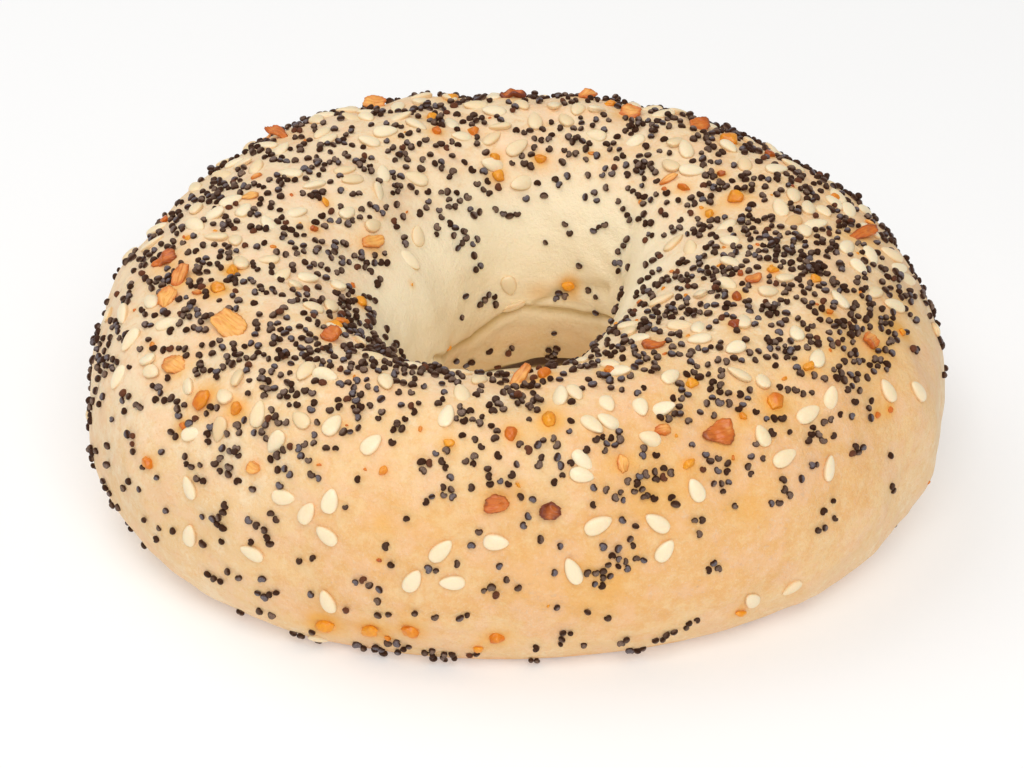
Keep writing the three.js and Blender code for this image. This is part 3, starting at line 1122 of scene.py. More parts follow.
    def bake(self) -> Array:
        """Returns how far each place is browned, from 0, cream, to 1, brown."""
        ring, section = np.degrees(self.ring), np.degrees(self.section)
        browned = (
            self.browning
            + self.browning_swing * self.tint.at(self.points)
            + self.browning_fine_swing * self.fine_tint.at(self.points)
        )
        for patch in self.golden:
            browned += patch.at(ring, section)
        browned = np.minimum(browned, self.browning_limit)
        height = self.points[..., 2]
        tray = self.tray_browning * (1 - eased(height, *self.tray_fades))
        tray = tray + self.tray_swing * self.fine_tint.at(self.tray_fineness * self.points)
        inside = eased(section, *self.wall_starts) * (1 - eased(section, *self.wall_ends))
        low = np.maximum(tray, 0) * (1 - eased(height, *self.low_fades))
        return np.clip(browned * (1 - self.paler_inside * inside) + low, -0.2, 1)

    def steamed_and_brightened(self) -> Array:
        """Returns how far each place is paler, from 0 to 1: crust shut in by the hole stayed soft and pale, and is
        painted lighter still to lift the hole's shade.
        """
        section = np.degrees(self.section)
        spared = self.paler_foot * eased(section, *self.steam_thins)
        return eased(section, *self.steam_starts) * (1 - spared) * (1 - eased(section, *self.steam_ends))

    def oil(self) -> Array:
        """Returns how much oil has run into each place, from 0 to 1."""
        ring, section = np.degrees(self.ring), np.degrees(self.section)
        amount = np.zeros_like(ring)
        for patch in self.spilt_oil:
            amount += patch.at(ring, section)
        for place, reach, strength in self.oil_halos:
            gap = np.linalg.norm(self.points - place, axis=-1)
            amount += strength * np.exp(-((gap / reach) ** 2))
        return np.clip(amount * (1 + self.oil_swing * self.fine_tint.at(self.points)), 0, self.oil_limit)

    def painted_shade(self) -> Array:
        """Returns the painted shade at each place: up to 1 in the folds and at the foot of the hole, up to 2 where
        a gaping fold carries its painted shadow.
        """
        ring, section = np.degrees(self.ring), np.degrees(self.section)
        depth, painted_shadow = np.zeros_like(ring), np.zeros_like(ring)
        for fold in self.folds:
            away = fold.distances(ring, section, self.shape.fold_radius)
            near = np.exp(-((away / (self.crease_shade_width * fold.width)) ** 2))
            depth = np.maximum(depth, near * min(fold.depth / self.crease_full_depth, 1))
            # the gaping fold's painted shadow
            painted_shadow = np.maximum(painted_shadow, fold.painted_shadow_along(ring) * near)
        return self.crease_shade * depth + self.hollow.at(ring, section) + painted_shadow

    def build(self) -> None:
        """Makes the crust's piece."""
        rows, columns = self.ring_steps, self.section_steps
        i, j = np.meshgrid(np.arange(rows), np.arange(columns), indexing="ij")
        after_i, after_j = (i + 1) % rows, (j + 1) % columns
        numbers = [i * columns + j, after_i * columns + j, after_i * columns + after_j, i * columns + after_j]
        faces = np.stack(numbers, -1).reshape(-1, 4)
        u, v = i / rows, j / columns
        du, dv = 1 / rows, 1 / columns
        corners = np.stack([u, v, u + du, v, u + du, v + dv, u, v + dv], -1).reshape(-1, 2)
        piece = mesh_object("bread_crust", self.points.reshape(-1, 3), faces, corners)
        # the folds' painted shade and shadow, and the hole's paler crust with its painted light, go on as
        # attributes
        looks = {"bake": self.bake(), "steam_and_light": self.steamed_and_brightened(), "oil": self.oil(), "fold": self.painted_shade()}
        for name, values in looks.items():
            write_attribute(piece, name, values.ravel())
        piece.data.materials.append(CRUST.material())
        hand_in(piece, "crust", "bread_ring")


# ---- shapes of the toppings ----


def poppy_form(
    half_length: float = 0.57, half_width: float = 0.49, half_thickness: float = 0.43, scar: float = 0.25
) -> Form:
    """Returns a poppy seed.

    Args:
        half_length: along x.
        half_width: along y.
        half_thickness: along z.
        scar: depth of the dent on its -y side.

    Returns:
        A kidney, before the seed's own size.
    """
    ball = Form.ball(14, 9)
    x, y, z = ball.vertices.T
    dent = scar * np.exp(-((x / 0.30) ** 2)) * np.clip(-y, 0, 1) ** 2
    bend = -0.09 * x**2
    plump = 1 - 0.08 * np.abs(x) ** 3
    across = (half_width * y + dent + bend) * plump + 0.02
    ball.vertices = np.stack([half_length * x, across, half_thickness * z * plump], 1)
    ball.rim = 1 - np.abs(z)
    return ball


def sesame_form(length: float = 3.3, width: float = 2.0, thickness: float = 0.95) -> Form:
    """Returns a sesame seed.

    Args:
        length: from its round end to its tip.
        width: across its broadest part.
        thickness: through its middle.

    Returns:
        A flat teardrop with its tip at +x and a thin edge all round.
    """
    ball = Form.ball(22, 16)
    x, y, z = ball.vertices.T
    reach = np.maximum(np.hypot(y, z), 1e-9)
    tip_fullness, end_fullness = 0.66, 0.43  # the smaller, the blunter
    outline = np.maximum(1 - x, 0) ** tip_fullness * np.maximum(1 + x, 0) ** end_fullness
    outline /= outline.max()
    side, top = y / reach, z / reach
    dome = np.sign(top) * np.abs(top) ** 0.95 * outline**0.8
    ridge = 0.06 * np.exp(-((side / 0.16) ** 2)) * np.sign(top) * outline
    ball.vertices = np.stack([x * length / 2, side * outline * width / 2, (dome + ridge) * thickness / 2], 1)
    ball.rim = np.maximum(1 - np.abs(top), (1 - outline) ** 2)
    return ball


class Cut(Enum):
    """How a flake of onion was broken: the corners of its outline, in halves of its length and width."""

    WEDGE = (
        (-1, -0.6), (-0.9, 0.5), (-0.45, 1.0), (0.3, 0.7), (1.0, 0.15), (0.95, -0.2), (0.1, -0.6), (-0.6, -1.0)
    )
    STRIP = (
        (-1, -0.6), (-0.9, 0.6), (-0.3, 1.0), (0.5, 0.9), (1.0, 0.5), (0.9, -0.6), (0.2, -1.0), (-0.5, -0.85)
    )
    CHIP = ((-0.9, -0.5), (-0.8, 0.6), (0.0, 1.0), (0.8, 0.7), (1.0, -0.1), (0.5, -0.9), (-0.3, -1.0))
    SLIVER = ((-1, 0.1), (-0.5, 0.9), (0.3, 1.0), (1.0, 0.25), (0.6, -0.7), (-0.1, -1.0), (-0.7, -0.7))

    def reach(self, turns: Array, rng: np.random.Generator) -> Array:
        """Works out how far the outline is from its middle.

        Args:
            turns: directions, in radians.
            rng: source of the random numbers that move the corners a little.

        Returns:
            One distance a direction, the longest of them 1.
        """
        corners = np.array(self.value, float)
        corners += rng.normal(0, 0.07, corners.shape)
        rays = np.stack([np.cos(turns), np.sin(turns)], 1)
        reach = np.full(len(turns), 1e9)
        for a, b in zip(corners, np.roll(corners, -1, 0)):
            normal = np.array([a[1] - b[1], b[0] - a[0]])
            facing, offset = rays @ normal, a @ normal
            hit = offset / np.where(np.abs(facing) < 1e-6, 1e-6, facing)
            on_side = ((rays * hit[:, None] - a) @ (b - a)) / ((b - a) @ (b - a))
            crossed = (hit > 0) & (on_side > -1e-3) & (on_side < 1 + 1e-3)
            reach = np.where(crossed, np.minimum(reach, hit), reach)
        for _ in range(2):
            reach = (np.roll(reach, 1) + 2 * reach + np.roll(reach, -1)) / 4
        torn = np.sin(5 * turns + rng.uniform(0, 6)) * np.sin(13 * turns + rng.uniform(0, 6))
        return reach * (1 + 0.05 * torn)


def flake_form(
    rng: np.random.Generator, length: float, width: float, thickness: float = 0.55,
    cut: Cut = Cut.CHIP, curl: float = 0.1, fineness: tuple[int, int] = (13, 60),
) -> Form:
    """Returns a chip of dried onion.

    Args:
        rng: source of the random numbers.
        length: along x.
        width: along y.
        thickness: of the chip.
        cut: its outline.
        curl: how fast its sides rise, or sink if negative, as in curl times y squared.
        fineness: steps from the middle to the edge, and round the edge.

    Returns:
        A curled chip with torn ends and ribs along it.
    """
    rings, spokes = fineness
    rib_height, rib_step = 0.045, 0.62
    turns = FULL_TURN * np.arange(spokes) / spokes
    reach = cut.reach(turns, rng)
    share = np.arange(1, rings + 1) / rings
    x = np.append(0, (share[:, None] * reach * np.cos(turns)).ravel() * length / 2)
    y = np.append(0, (share[:, None] * reach * np.sin(turns)).ravel() * width / 2)
    share = np.append(0, np.repeat(share, spokes))
    edge = np.sqrt(np.maximum(1 - share**6, 0))
    flat = np.stack([x, y, np.zeros_like(x)], 1)
    crumple, wander = RandomField(rng, 2.0), RandomField(rng, 1.6)
    bow = curl * y**2 + rng.uniform(-0.02, 0.04) * x**2 + rng.normal(0, 0.05) * x * y
    bow += 0.13 * crumple.at(flat) * thickness / 0.55
    bow -= bow.mean()
    rib = rib_height * np.sin(FULL_TURN * (y + 0.12 * wander.at(flat)) / rib_step + rng.uniform(0, 6)) * edge
    half = thickness / 2 * (0.85 + 0.15 * crumple.at(flat + 9)) * edge
    count = len(x)
    above, below = np.stack([x, y, bow + rib + half], 1), np.stack([x, y, bow + 0.6 * rib - half], 1)
    vertices = np.vstack([above, below[: count - spokes]])
    triangles, corner_list = [], []
    place = flat[:, :2] / np.abs(flat[:, :2]).max(0) / 2 + 0.5

    def number(ring: int, spoke: int, under: bool) -> int:
        """Returns a vertex number. The two faces share their outermost ring."""
        above = 0 if ring == 0 else 1 + (ring - 1) * spokes + spoke % spokes
        return above + count if under and ring < rings else above

    for under in (False, True):
        for ring in range(rings):
            for spoke in range(spokes):
                a, b = number(ring, spoke, under), number(ring + 1, spoke, under)
                c, d = number(ring + 1, spoke + 1, under), number(ring, spoke + 1, under)
                for three in ((a, b, c), (a, c, d)) if ring else ((a, b, c),):
                    three = three[::-1] if under else three
                    triangles.append(three)
                    spots = [place[n - count if n >= count else n] * (0.5, 1) for n in three]
                    corner_list.append([spot + ((0.5, 0) if under else (0, 0)) for spot in spots])
    rim = np.append(share, share[: count - spokes])
    return Form(vertices, np.array(triangles), np.array(corner_list), rim)


def granule_form(rng: np.random.Generator, length: float, width: float, thickness: float) -> Form:
    """Returns a grain of dried garlic.

    Args:
        rng: source of the random numbers.
        length: along x.
        width: along y.
        thickness: along z.

    Returns:
        A chipped lump with soft corners.
    """
    ball = Form.ball(26, 17)
    chips, sharpness = 13, 9
    facets = unit(rng.normal(size=(chips, 3)))
    depths = rng.uniform(0.72, 1.0, chips)
    press = np.clip(ball.vertices @ facets.T / depths, 0, None) ** sharpness
    reach = 1 / np.maximum(press.sum(1) ** (1 / sharpness), 0.86)
    lumps = 1 + 0.035 * RandomField(rng, 0.7).at(ball.vertices)
    shaped = ball.vertices * (reach * lumps)[:, None]
    shaped -= (shaped.max(0) + shaped.min(0)) / 2
    ball.vertices = shaped / (shaped.max(0) - shaped.min(0)) * [length, width, thickness]
    return ball


# ---- toppings that the frame holds ----


class Toast(Enum):
    """How far a piece of onion or garlic is toasted."""

    STRAW = 0.05
    HONEY = 0.2
    AMBER = 0.36
    RUST = 0.6
    DARK = 0.92


@dataclass(frozen=True)
class FlakeLook:
    """What one of the frame's onion flakes is like."""

    toast: Toast
    cut: Cut = Cut.CHIP
    curl: float = 0.1
    thickness: float = 0.55
    lean: tuple[float, float] = (0.0, 0.0)  # slope of its face along the ring and up the section
    back_to_front: bool = False  # its narrower end points against the ring angle


@dataclass(frozen=True)
class HeldTopping:
    """A topping's CAD node, read back as a place on the crust, a turn and a size."""

    ring: float
    section: float
    turn: float
    length: float
    width: float

    @classmethod
    def read(cls, node: bpy.types.Object, bread: BreadRing) -> HeldTopping:
        """Reads a node.

        Args:
            node: the CAD object.
            bread: the bread that it lies on.

        Returns:
            Where it lies, and its length and width. Its narrower end points the way that it is turned.
        """
        places = np.array([v.co for v in node.data.vertices]) / MM
        centre = (places.max(0) + places.min(0)) / 2
        ring, section = bread.nearest(centre)
        laid = bread.lay(np.array([ring]), np.array([section]))
        flat = np.stack([(places - centre) @ laid.along[0], (places - centre) @ laid.up[0]], 1)
        flat -= flat.mean(0)
        spread, axes = np.linalg.eigh(flat.T @ flat)
        long_axis, short_axis = axes[:, spread.argmax()], axes[:, spread.argmin()]
        along, across = flat @ long_axis, flat @ short_axis
        ahead = np.abs(across[along > 0.45 * along.max()]).mean()
        behind = np.abs(across[along < 0.45 * along.min()]).mean()
        if ahead > behind:
            long_axis = -long_axis
        turn = math.atan2(long_axis[1], long_axis[0])
        return cls(ring, section, turn, float(np.ptp(along)), float(np.ptp(across)))


class Bearing(Enum):
    """How a thing bears the small seeds that fall on it, and how high over the crust they lie at the most."""

    NOTHING = 0.0
    BETWEEN = 0.72  # in the dip between two of them, the lower the further apart they are
    BACK = 0.62  # on its back


class Footprints:
    """Remembers the ground that toppings take up, so that none stands in another."""

    CELL = 4.0
    SEED_SPAN = 0.95  # two seeds this far apart no longer touch
    BACK_SPAN = 0.6  # and this far from the middle of a back, one slips off it

    def __init__(self) -> None:
        """Starts with bare crust."""
        self.cells: dict[tuple[int, ...], list[tuple[Array, float, Bearing]]] = defaultdict(list)

    def _cell(self, place: Array) -> tuple[int, ...]:
        """Returns the cell that a place is in."""
        return tuple(int(n) for n in np.floor(place / self.CELL))

    def claim(self, place: Array, reach: float, bearing: Bearing = Bearing.NOTHING) -> None:
        """Takes up round ground."""
        self.cells[self._cell(place)].append((place, reach, bearing))

    def meets(self, place: Array, reach: float) -> list[tuple[Array, float, Bearing]]:
        """Returns the ground already taken up that a round thing would touch."""
        x, y, z = self._cell(place)
        found = []
        for i in (x - 1, x, x + 1):
            for j in (y - 1, y, y + 1):
                for k in (z - 1, z, z + 1):
                    for entry in self.cells.get((i, j, k), ()):
                        gap = entry[0] - place
                        if gap @ gap < (entry[1] + reach) ** 2:
                            found.append(entry)
        return found

    def claim_long(
        self, laid: Laid, frame: Array, length: float, width: float, bearing: Bearing = Bearing.NOTHING
    ) -> None:
        """Takes up the ground of a long thing, as three circles in a row."""
        for share in (-0.3, 0, 0.3):
            self.claim(laid.points[0] + frame[:, 0] * length * share, width / 2, bearing)

    def rest(self, place: Array, reach: float) -> float | None:
        """Returns how high over the crust a small seed would come to rest, or None if it would roll off."""
        met = self.meets(place, reach)
        if not met:
            return Bearing.NOTHING.value
        bearings = {entry[2] for entry in met}
        nearest = min(np.linalg.norm(entry[0] - place) for entry in met)
        if bearings == {Bearing.BETWEEN} and len(met) >= 2:
            return Bearing.BETWEEN.value * math.sqrt(1 - (nearest / self.SEED_SPAN) ** 2)
        if bearings == {Bearing.BACK} and nearest < self.BACK_SPAN:
            return Bearing.BACK.value
        return None


@dataclass
class HeldToppings:
    """The seeds, flakes and grains that the frame holds, one detailed piece for each."""

    bread: BreadRing
    nodes: dict[str, bpy.types.Object]
    ground: Footprints
    flakes: tuple[FlakeLook, ...] = (
        FlakeLook(Toast.RUST, Cut.WEDGE, curl=0.02, back_to_front=True),
        FlakeLook(Toast.DARK, thickness=1.1, curl=0.0),
        FlakeLook(Toast.RUST, thickness=1.1, curl=0.0),
        FlakeLook(Toast.AMBER, Cut.STRIP, thickness=0.8),
        FlakeLook(Toast.HONEY, Cut.SLIVER),
        FlakeLook(Toast.STRAW, thickness=0.8),
        FlakeLook(Toast.RUST, Cut.WEDGE, curl=0.10, thickness=0.8, lean=(0.5, 0.0)),
        FlakeLook(Toast.AMBER, Cut.STRIP, curl=0.20, thickness=0.7, lean=(0.4, 0.1)),
        FlakeLook(Toast.HONEY, Cut.STRIP, curl=0.16, lean=(0.45, 0.1)),
        FlakeLook(Toast.STRAW, Cut.STRIP, curl=0.05, lean=(0.32, 0.0)),
        FlakeLook(Toast.HONEY, Cut.SLIVER, lean=(0.15, 0.0)),
        FlakeLook(Toast.HONEY, Cut.STRIP, curl=-0.08),
        FlakeLook(Toast.RUST, thickness=1.1, curl=0.0, lean=(0.0, -0.4)),
        FlakeLook(Toast.RUST, Cut.WEDGE, curl=0.16, lean=(0.2, 0.7)),
        FlakeLook(Toast.HONEY, Cut.STRIP, lean=(0.0, 0.8)),
        FlakeLook(Toast.AMBER, Cut.STRIP, lean=(0.0, 0.5)),
        FlakeLook(Toast.AMBER, lean=(0.0, 0.5)),
        FlakeLook(Toast.DARK, Cut.STRIP, thickness=0.8, lean=(0.0, 0.3)),
        FlakeLook(Toast.RUST, Cut.STRIP, curl=0.35, thickness=0.5, lean=(-0.5, 0.0)),
        FlakeLook(Toast.AMBER, thickness=0.9),
        FlakeLook(Toast.RUST, Cut.SLIVER, thickness=0.7),
        FlakeLook(Toast.HONEY, Cut.STRIP, curl=0.05, thickness=0.65, lean=(0.0, -1.1)),
        FlakeLook(Toast.RUST, Cut.STRIP, lean=(-0.2, 0.4)),
    )

    flake_growth: tuple[float, float] = (1.06, 1.04)  # of its length and width, for what its torn edge loses
    flake_lift: float = 0.12
    flake_halo: Halo = Halo(0.52, 0.6, 0.62)
    granule_thickness: float = 1.5
    granule_lift: float = 0.28
    granule_tones: tuple[float, float] = (0.1, 0.5)
    granule_halo: Halo = Halo(0.6, 0.6, 1.2)
    seed_lift: float = 0.2

    def build(self) -> None:
        """Makes a piece for each topping node."""
        rng = np.random.default_rng(31)
        for name in sorted(self.nodes):
            if name == "bread_ring":
                continue
            held = HeldTopping.read(self.nodes[name], self.bread)
            laid = self.bread.lay(np.array([held.ring]), np.array([held.section]))
            number = int(name[-2:])
            if name.startswith("onion_flake"):
                self._flake(name, number, held, laid, rng)
            elif name.startswith("garlic_granule"):
                self._granule(name, held, laid, rng)
            else:
                self._seed(name, held, laid, rng)

    def _place(
        self, name: str, form: Form, frame: Array, place: Array, tone: float, finish: Finish, slot: str
    ) -> None:
        """Makes one piece.

        Args:
            name: the CAD node that it stands for.
            form: its shape.
            frame: its axes.
            place: its centre.
            tone: what its material reads.
            finish: its finish.
            slot: its material slot.
        """
        heap = Heap()
        heap.add(form, frame[None], place[None], np.array([tone]))
        hand_in(heap.build(name.replace("_", "-"), finish), slot, name)

    def _flake(self, name: str, number: int, held: HeldTopping, laid: Laid, rng: np.random.Generator) -> None:
        """Lays an onion flake, with a halo of oil in the crust."""
        look = self.flakes[number - 1]
        length, width = held.length * self.flake_growth[0], held.width * self.flake_growth[1]
        form = flake_form(rng, length, width, look.thickness, look.cut, look.curl)
        forward = math.cos(held.turn) > 0
        turn = held.turn + (math.pi if forward == look.back_to_front else 0)
        frame = laid.tipped(*look.lean).frames(np.array([turn]))[0]
        lift = self.flake_lift + 0.3 * look.thickness + 0.16 * held.width * math.hypot(*look.lean)
        self._place(name, form, frame, laid.points[0] + lift * laid.out[0], look.toast.value, ONION, "onion")
        self.ground.claim_long(laid, frame, held.length, held.width)
        self.bread.stain(laid.points[0], held.length, self.flake_halo)

    def _granule(self, name: str, held: HeldTopping, laid: Laid, rng: np.random.Generator) -> None:
        """Lays a grain of garlic, with a halo of oil in the crust."""
        form = granule_form(rng, held.length, held.width, self.granule_thickness)
        frame = laid.frames(np.array([held.turn]))[0]
        tone = float(rng.uniform(*self.granule_tones))
        place = laid.points[0] + self.granule_lift * laid.out[0]
        self._place(name, form, frame, place, tone, GARLIC, "garlic")
        self.ground.claim_long(laid, frame, held.length, held.width)
        self.bread.stain(laid.points[0], held.length, self.granule_halo)

    def _seed(self, name: str, held: HeldTopping, laid: Laid, rng: np.random.Generator) -> None:
        """Lays a sesame seed."""
        form = sesame_form(length=held.length, width=held.width * rng.uniform(1.0, 1.08))
        frame = laid.frames(np.array([held.turn]), rng.normal(0, 0.08, 1), rng.normal(0, 0.04, 1))[0]
        tone = rng.uniform(0, 0.3) + 0.25 * math.sin(held.section)
        self._place(name, form, frame, laid.points[0] + self.seed_lift * laid.out[0], tone, SESAME, "sesame")
        self.ground.claim_long(laid, frame, held.length, held.width, Bearing.BACK)


# ---- seasoning sown over the crust ----


@dataclass(frozen=True)
class Strewing:
    """How thickly one kind of topping lies: seeds to 100 square millimetres, by place."""

    crown: float
    flanks: float
    inside: float
    crown_from: float = 30.0
    crown_full: float = 58.0
    crown_thins: float = 118.0
    crown_ends: float = 150.0
    handfuls: tuple[Patch, ...] = ()
    clumping: float = 0.5
    clump_size: float = 9.0

    def over(self, bread: BreadRing, rng: np.random.Generator) -> Array:
        """Returns the number of seeds that each place of the bread's grid should get."""
        ring, section = np.degrees(bread.ring), np.degrees(bread.section)
        height = bread.points[..., 2]
        rising = eased(section, self.crown_from, self.crown_full)
        crown = rising * (1 - eased(section, self.crown_thins, self.crown_ends))
        outside = np.cos(bread.section) > 0
        thick = self.crown * crown + np.where(outside, self.flanks, self.inside) * (1 - crown)
        for handful in self.handfuls:
            thick = thick + handful.at(ring, section)
        clumps = np.exp(self.clumping * RandomField(rng, self.clump_size).at(bread.points))
        off_the_base = eased(height, 0.6, 1.6)
        return np.maximum(thick, 0) * clumps * off_the_base * bread.areas() / 100


@dataclass(frozen=True)
class Grain:
    """A grain of garlic at a known place: its ring angle and section angle in degrees, its size and its tone."""

    ring: float
    section: float
    size: float
    tone: float


@dataclass(frozen=True)
class Bits:
    """What one kind of small onion or garlic bit is like: room needed, sizes, height over the crust and oil."""

    room: float
    shortest: float
    longest: float
    height: float
    oil: float


@dataclass
class Seasoning:
    """The loose seasoning: poppy seeds, and the sesame, onion and garlic that the frame doesn't hold."""

    bread: BreadRing
    ground: Footprints
    poppy: Strewing = Strewing(
        crown=32, flanks=3.3, inside=4.0, clumping=0.34, clump_size=6.0,
        handfuls=(
            Patch(228, 36, 10, 9, 20), Patch(230, 66, 9, 9, 18), Patch(250, 56, 12, 16, -14),
            Patch(268, 66, 14, 9, -13), Patch(294, 38, 22, 7, 20), Patch(265, 38, 7, 7, 8),
            Patch(348, 78, 16, 14, 24), Patch(350, 36, 12, 8, -6), Patch(8, 56, 26, 16, 10),
            Patch(95, 68, 14, 9, -14), Patch(222, 112, 26, 18, 24), Patch(250, 108, 12, 8, 16),
            Patch(318, 112, 16, 9, 9), Patch(340, 14, 26, 26, -3.4), Patch(205, 8, 26, 18, 1.5),
            Patch(322, -22, 24, 12, -5), Patch(285, -27, 12, 7, 3), Patch(225, -24, 26, 9, 2),
            Patch(283, 8, 3, 8, 18), Patch(278, 118, 16, 14, -12), Patch(150, 36, 14, 9, 8),
            Patch(100, 76, 40, 20, 4), Patch(120, 200, 40, 30, -2.2), Patch(184, 50, 8, 6, -8),
            Patch(192, 68, 8, 7, 12), Patch(190, 0, 12, 12, -2.5), Patch(168, 20, 10, 10, -5),
            Patch(310, 38, 10, 7, 9), Patch(350, 84, 10, 8, 18), Patch(232, 80, 10, 14, 14),
            Patch(10, 20, 8, 8, 14), Patch(222, 134, 18, 10, 16), Patch(250, -45, 9, 4, 30),
            Patch(312, -44, 26, 7, -3), Patch(222, -32, 26, 9, -3.4), Patch(30, 70, 36, 30, 12),
            Patch(158, 142, 20, 16, -9), Patch(145, 38, 12, 9, -18), Patch(170, 100, 16, 9, -10),
            Patch(184, 24, 10, 22, 6), Patch(250, 132, 16, 8, -16), Patch(310, 112, 14, 8, 12),
        ),
    )
    sesame: Strewing = Strewing(
        crown=2.6, flanks=0.16, inside=0.25, crown_from=22, crown_full=50, crown_thins=112, crown_ends=135,
        clumping=0.35,
        handfuls=(
            Patch(200, 70, 32, 26, 1.2), Patch(130, 70, 36, 20, 0.8), Patch(20, 70, 34, 24, 0.6),
            Patch(312, 66, 16, 14, 1.0), Patch(255, 45, 22, 30, -1.6), Patch(288, 62, 7, 8, 2.5),
            Patch(325, 20, 30, 20, -0.1), Patch(255, 5, 30, 14, -0.16), Patch(92, 72, 46, 22, 2.2),
            Patch(60, 228, 60, 18, -0.4),
        ),
    )
    onion: Strewing = Strewing(crown=0.22, flanks=0.0, inside=0.0, clumping=0.4)
    garlic: Strewing = Strewing(crown=0.26, flanks=0.04, inside=0.03, clumping=0.4)
    specks: Strewing = Strewing(crown=0.9, flanks=0.12, inside=0.1, clumping=0.5)
    onion_bits: Bits = Bits(0.9, 1.4, 3.0, 0.20, 0.35)
    garlic_bits: Bits = Bits(0.75, 1.0, 1.9, 0.22, 0.8)
    speck_bits: Bits = Bits(0.3, 0.4, 1.0, 0.02, 0.45)
    grains: tuple[Grain, ...] = (
        Grain(268.8, 61.0, 2.0, 0.55), Grain(258.5, 56.5, 1.3, 0.05), Grain(248.8, 41.5, 1.3, 0.25),
        Grain(348.2, 76.5, 1.5, 0.15), Grain(347.0, 41.0, 1.1, 0.2), Grain(325.0, 59.0, 1.6, 0.15),
        Grain(309.2, 53.0, 1.1, 0.3), Grain(330.2, 30.0, 0.9, 0.7), Grain(332.8, 28.5, 0.8, 0.7),
        Grain(276.6, 104.5, 1.9, 0.5), Grain(213.2, 120.0, 1.8, 0.4), Grain(216.0, 114.0, 1.9, 0.0),
        Grain(291.5, 95.0, 1.4, 0.5), Grain(215.8, 34.5, 1.2, 0.5), Grain(68.8, 177.0, 1.7, 0.0),
        Grain(194.5, 133.5, 1.8, 0.1), Grain(263.8, 327.0, 1.3, 0.2), Grain(335.5, 97.0, 1.8, 1.0),
        Grain(324.5, 89.0, 1.7, 1.0), Grain(101.0, 102.5, 1.9, 0.4), Grain(110.5, 101.0, 1.6, 0.5),
        Grain(96.8, 119.5, 1.6, 0.3), Grain(83.2, 121.5, 1.7, 0.2), Grain(96.2, 128.0, 1.7, 0.15),
        Grain(102.2, 66.0, 2.0, 0.1), Grain(109.0, 88.5, 1.7, 0.2), Grain(36.0, 70.0, 1.6, 0.9),
        Grain(23.0, 112.5, 1.6, 0.0), Grain(20.8, 58.5, 1.6, 0.35), Grain(34.2, 98.0, 1.2, 1.0),
        Grain(188.0, 84.0, 1.9, 0.0),
    )
    sesame_kinds: tuple[tuple[float, float], ...] = ((3.1, 1.95), (3.35, 2.1), (3.5, 2.05), (2.9, 2.0))
    sesame_spots: tuple[float, ...] = (-0.95, 0, 0.95)  # along a seed, the middles of the ground that it takes up
    sesame_room: float = 0.62  # radius of the ground that it needs at each, and of what it then takes up
    sesame_reach: float = 0.72
    sesame_over_table: float = 0.7
    sesame_excess: float = 1.25  # thrown for each that is wanted, as some find no room
    grain_halo: Halo = Halo(0.5, 0.5, 0.9)
    bit_halo_margin: float = 0.35
    footprint_share: float = 0.42  # radius of the ground that a bit or a grain takes up, against its size
    poppy_excess: float = 2.2
    poppy_reach: float = 0.445
    poppy_size: tuple[float, float] = (0.89, 0.085)  # of its form: mean and deviation
    poppy_sizes: tuple[float, float] = (0.70, 1.10)
    poppy_rise: tuple[float, float] = (0.10, 0.34)  # of its middle over the crust
    stacked_rise: float = 0.12
    rusty_share: float = 0.035
    chained_step: tuple[float, float] = (0.90, 1.04)  # from the middle of one seed to that of the next
    stacking_gap: float = 0.3
    chaining: float = 0.26  # share of poppy seeds that come to lie against another
    company: int = 2  # the most seeds that come to lie against one
    stacking: float = 0.3  # share of the seeds that fall on others and stay there

    def _throw(self, strewing: Strewing, rng: np.random.Generator, share: float = 1.0) -> tuple[Array, Array]:
        """Throws seeds over the whole crust.

        Args:
            strewing: how thickly they lie.
            rng: source of the random numbers.
            share: part of the strewing's number to throw.

        Returns:
            Their ring angles and section angles, in radians.
        """
        wanted = strewing.over(self.bread, rng)
        number = int(round(float(wanted.sum()) * share))
        chosen = rng.choice(wanted.size, number, p=(wanted / wanted.sum()).ravel())
        ring = self.bread.ring.ravel()[chosen] + rng.uniform(0, FULL_TURN / self.bread.ring_steps, number)
        section = self.bread.section.ravel()[chosen] + rng.uniform(0, FULL_TURN / self.bread.section_steps, number)
        return ring, section

    def sow_sesame(self) -> None:
        """Sows the sesame seeds that the frame doesn't hold, in a few sizes."""
        rng = np.random.default_rng(44)
        ring, section = self._throw(self.sesame, rng, self.sesame_excess)
        laid = self.bread.lay(ring, section)
        turns = rng.uniform(0, FULL_TURN, len(ring))
        tips = rng.normal(0, 0.16, (2, len(ring)))
        frames = laid.frames(turns, tips[0], tips[1])
        kept = []
        for n, place in enumerate(laid.points):
            spots = [place + frames[n, :, 0] * along for along in self.sesame_spots]
            clear_of_table = min(spot[2] for spot in spots) > self.sesame_over_table
            if clear_of_table and not any(self.ground.meets(spot, self.sesame_room) for spot in spots):
                kept.append(n)
                for spot in spots:
                    self.ground.claim(spot, self.sesame_reach, Bearing.BACK)
        heap = Heap()
        for kind, (length, width) in enumerate(self.sesame_kinds):
            mine = np.array(kept[kind :: len(self.sesame_kinds)])
            tones = 0.85 * rng.beta(1.1, 2.1, len(mine)) + 0.15 * np.sin(section[mine])
            sunk = rng.uniform(-0.06, 0.24, len(mine))[:, None]
            heap.add(sesame_form(length, width), frames[mine], laid.points[mine] + sunk * laid.out[mine], tones)
        hand_in(heap.build("sesame_seeds", SESAME), "sesame")

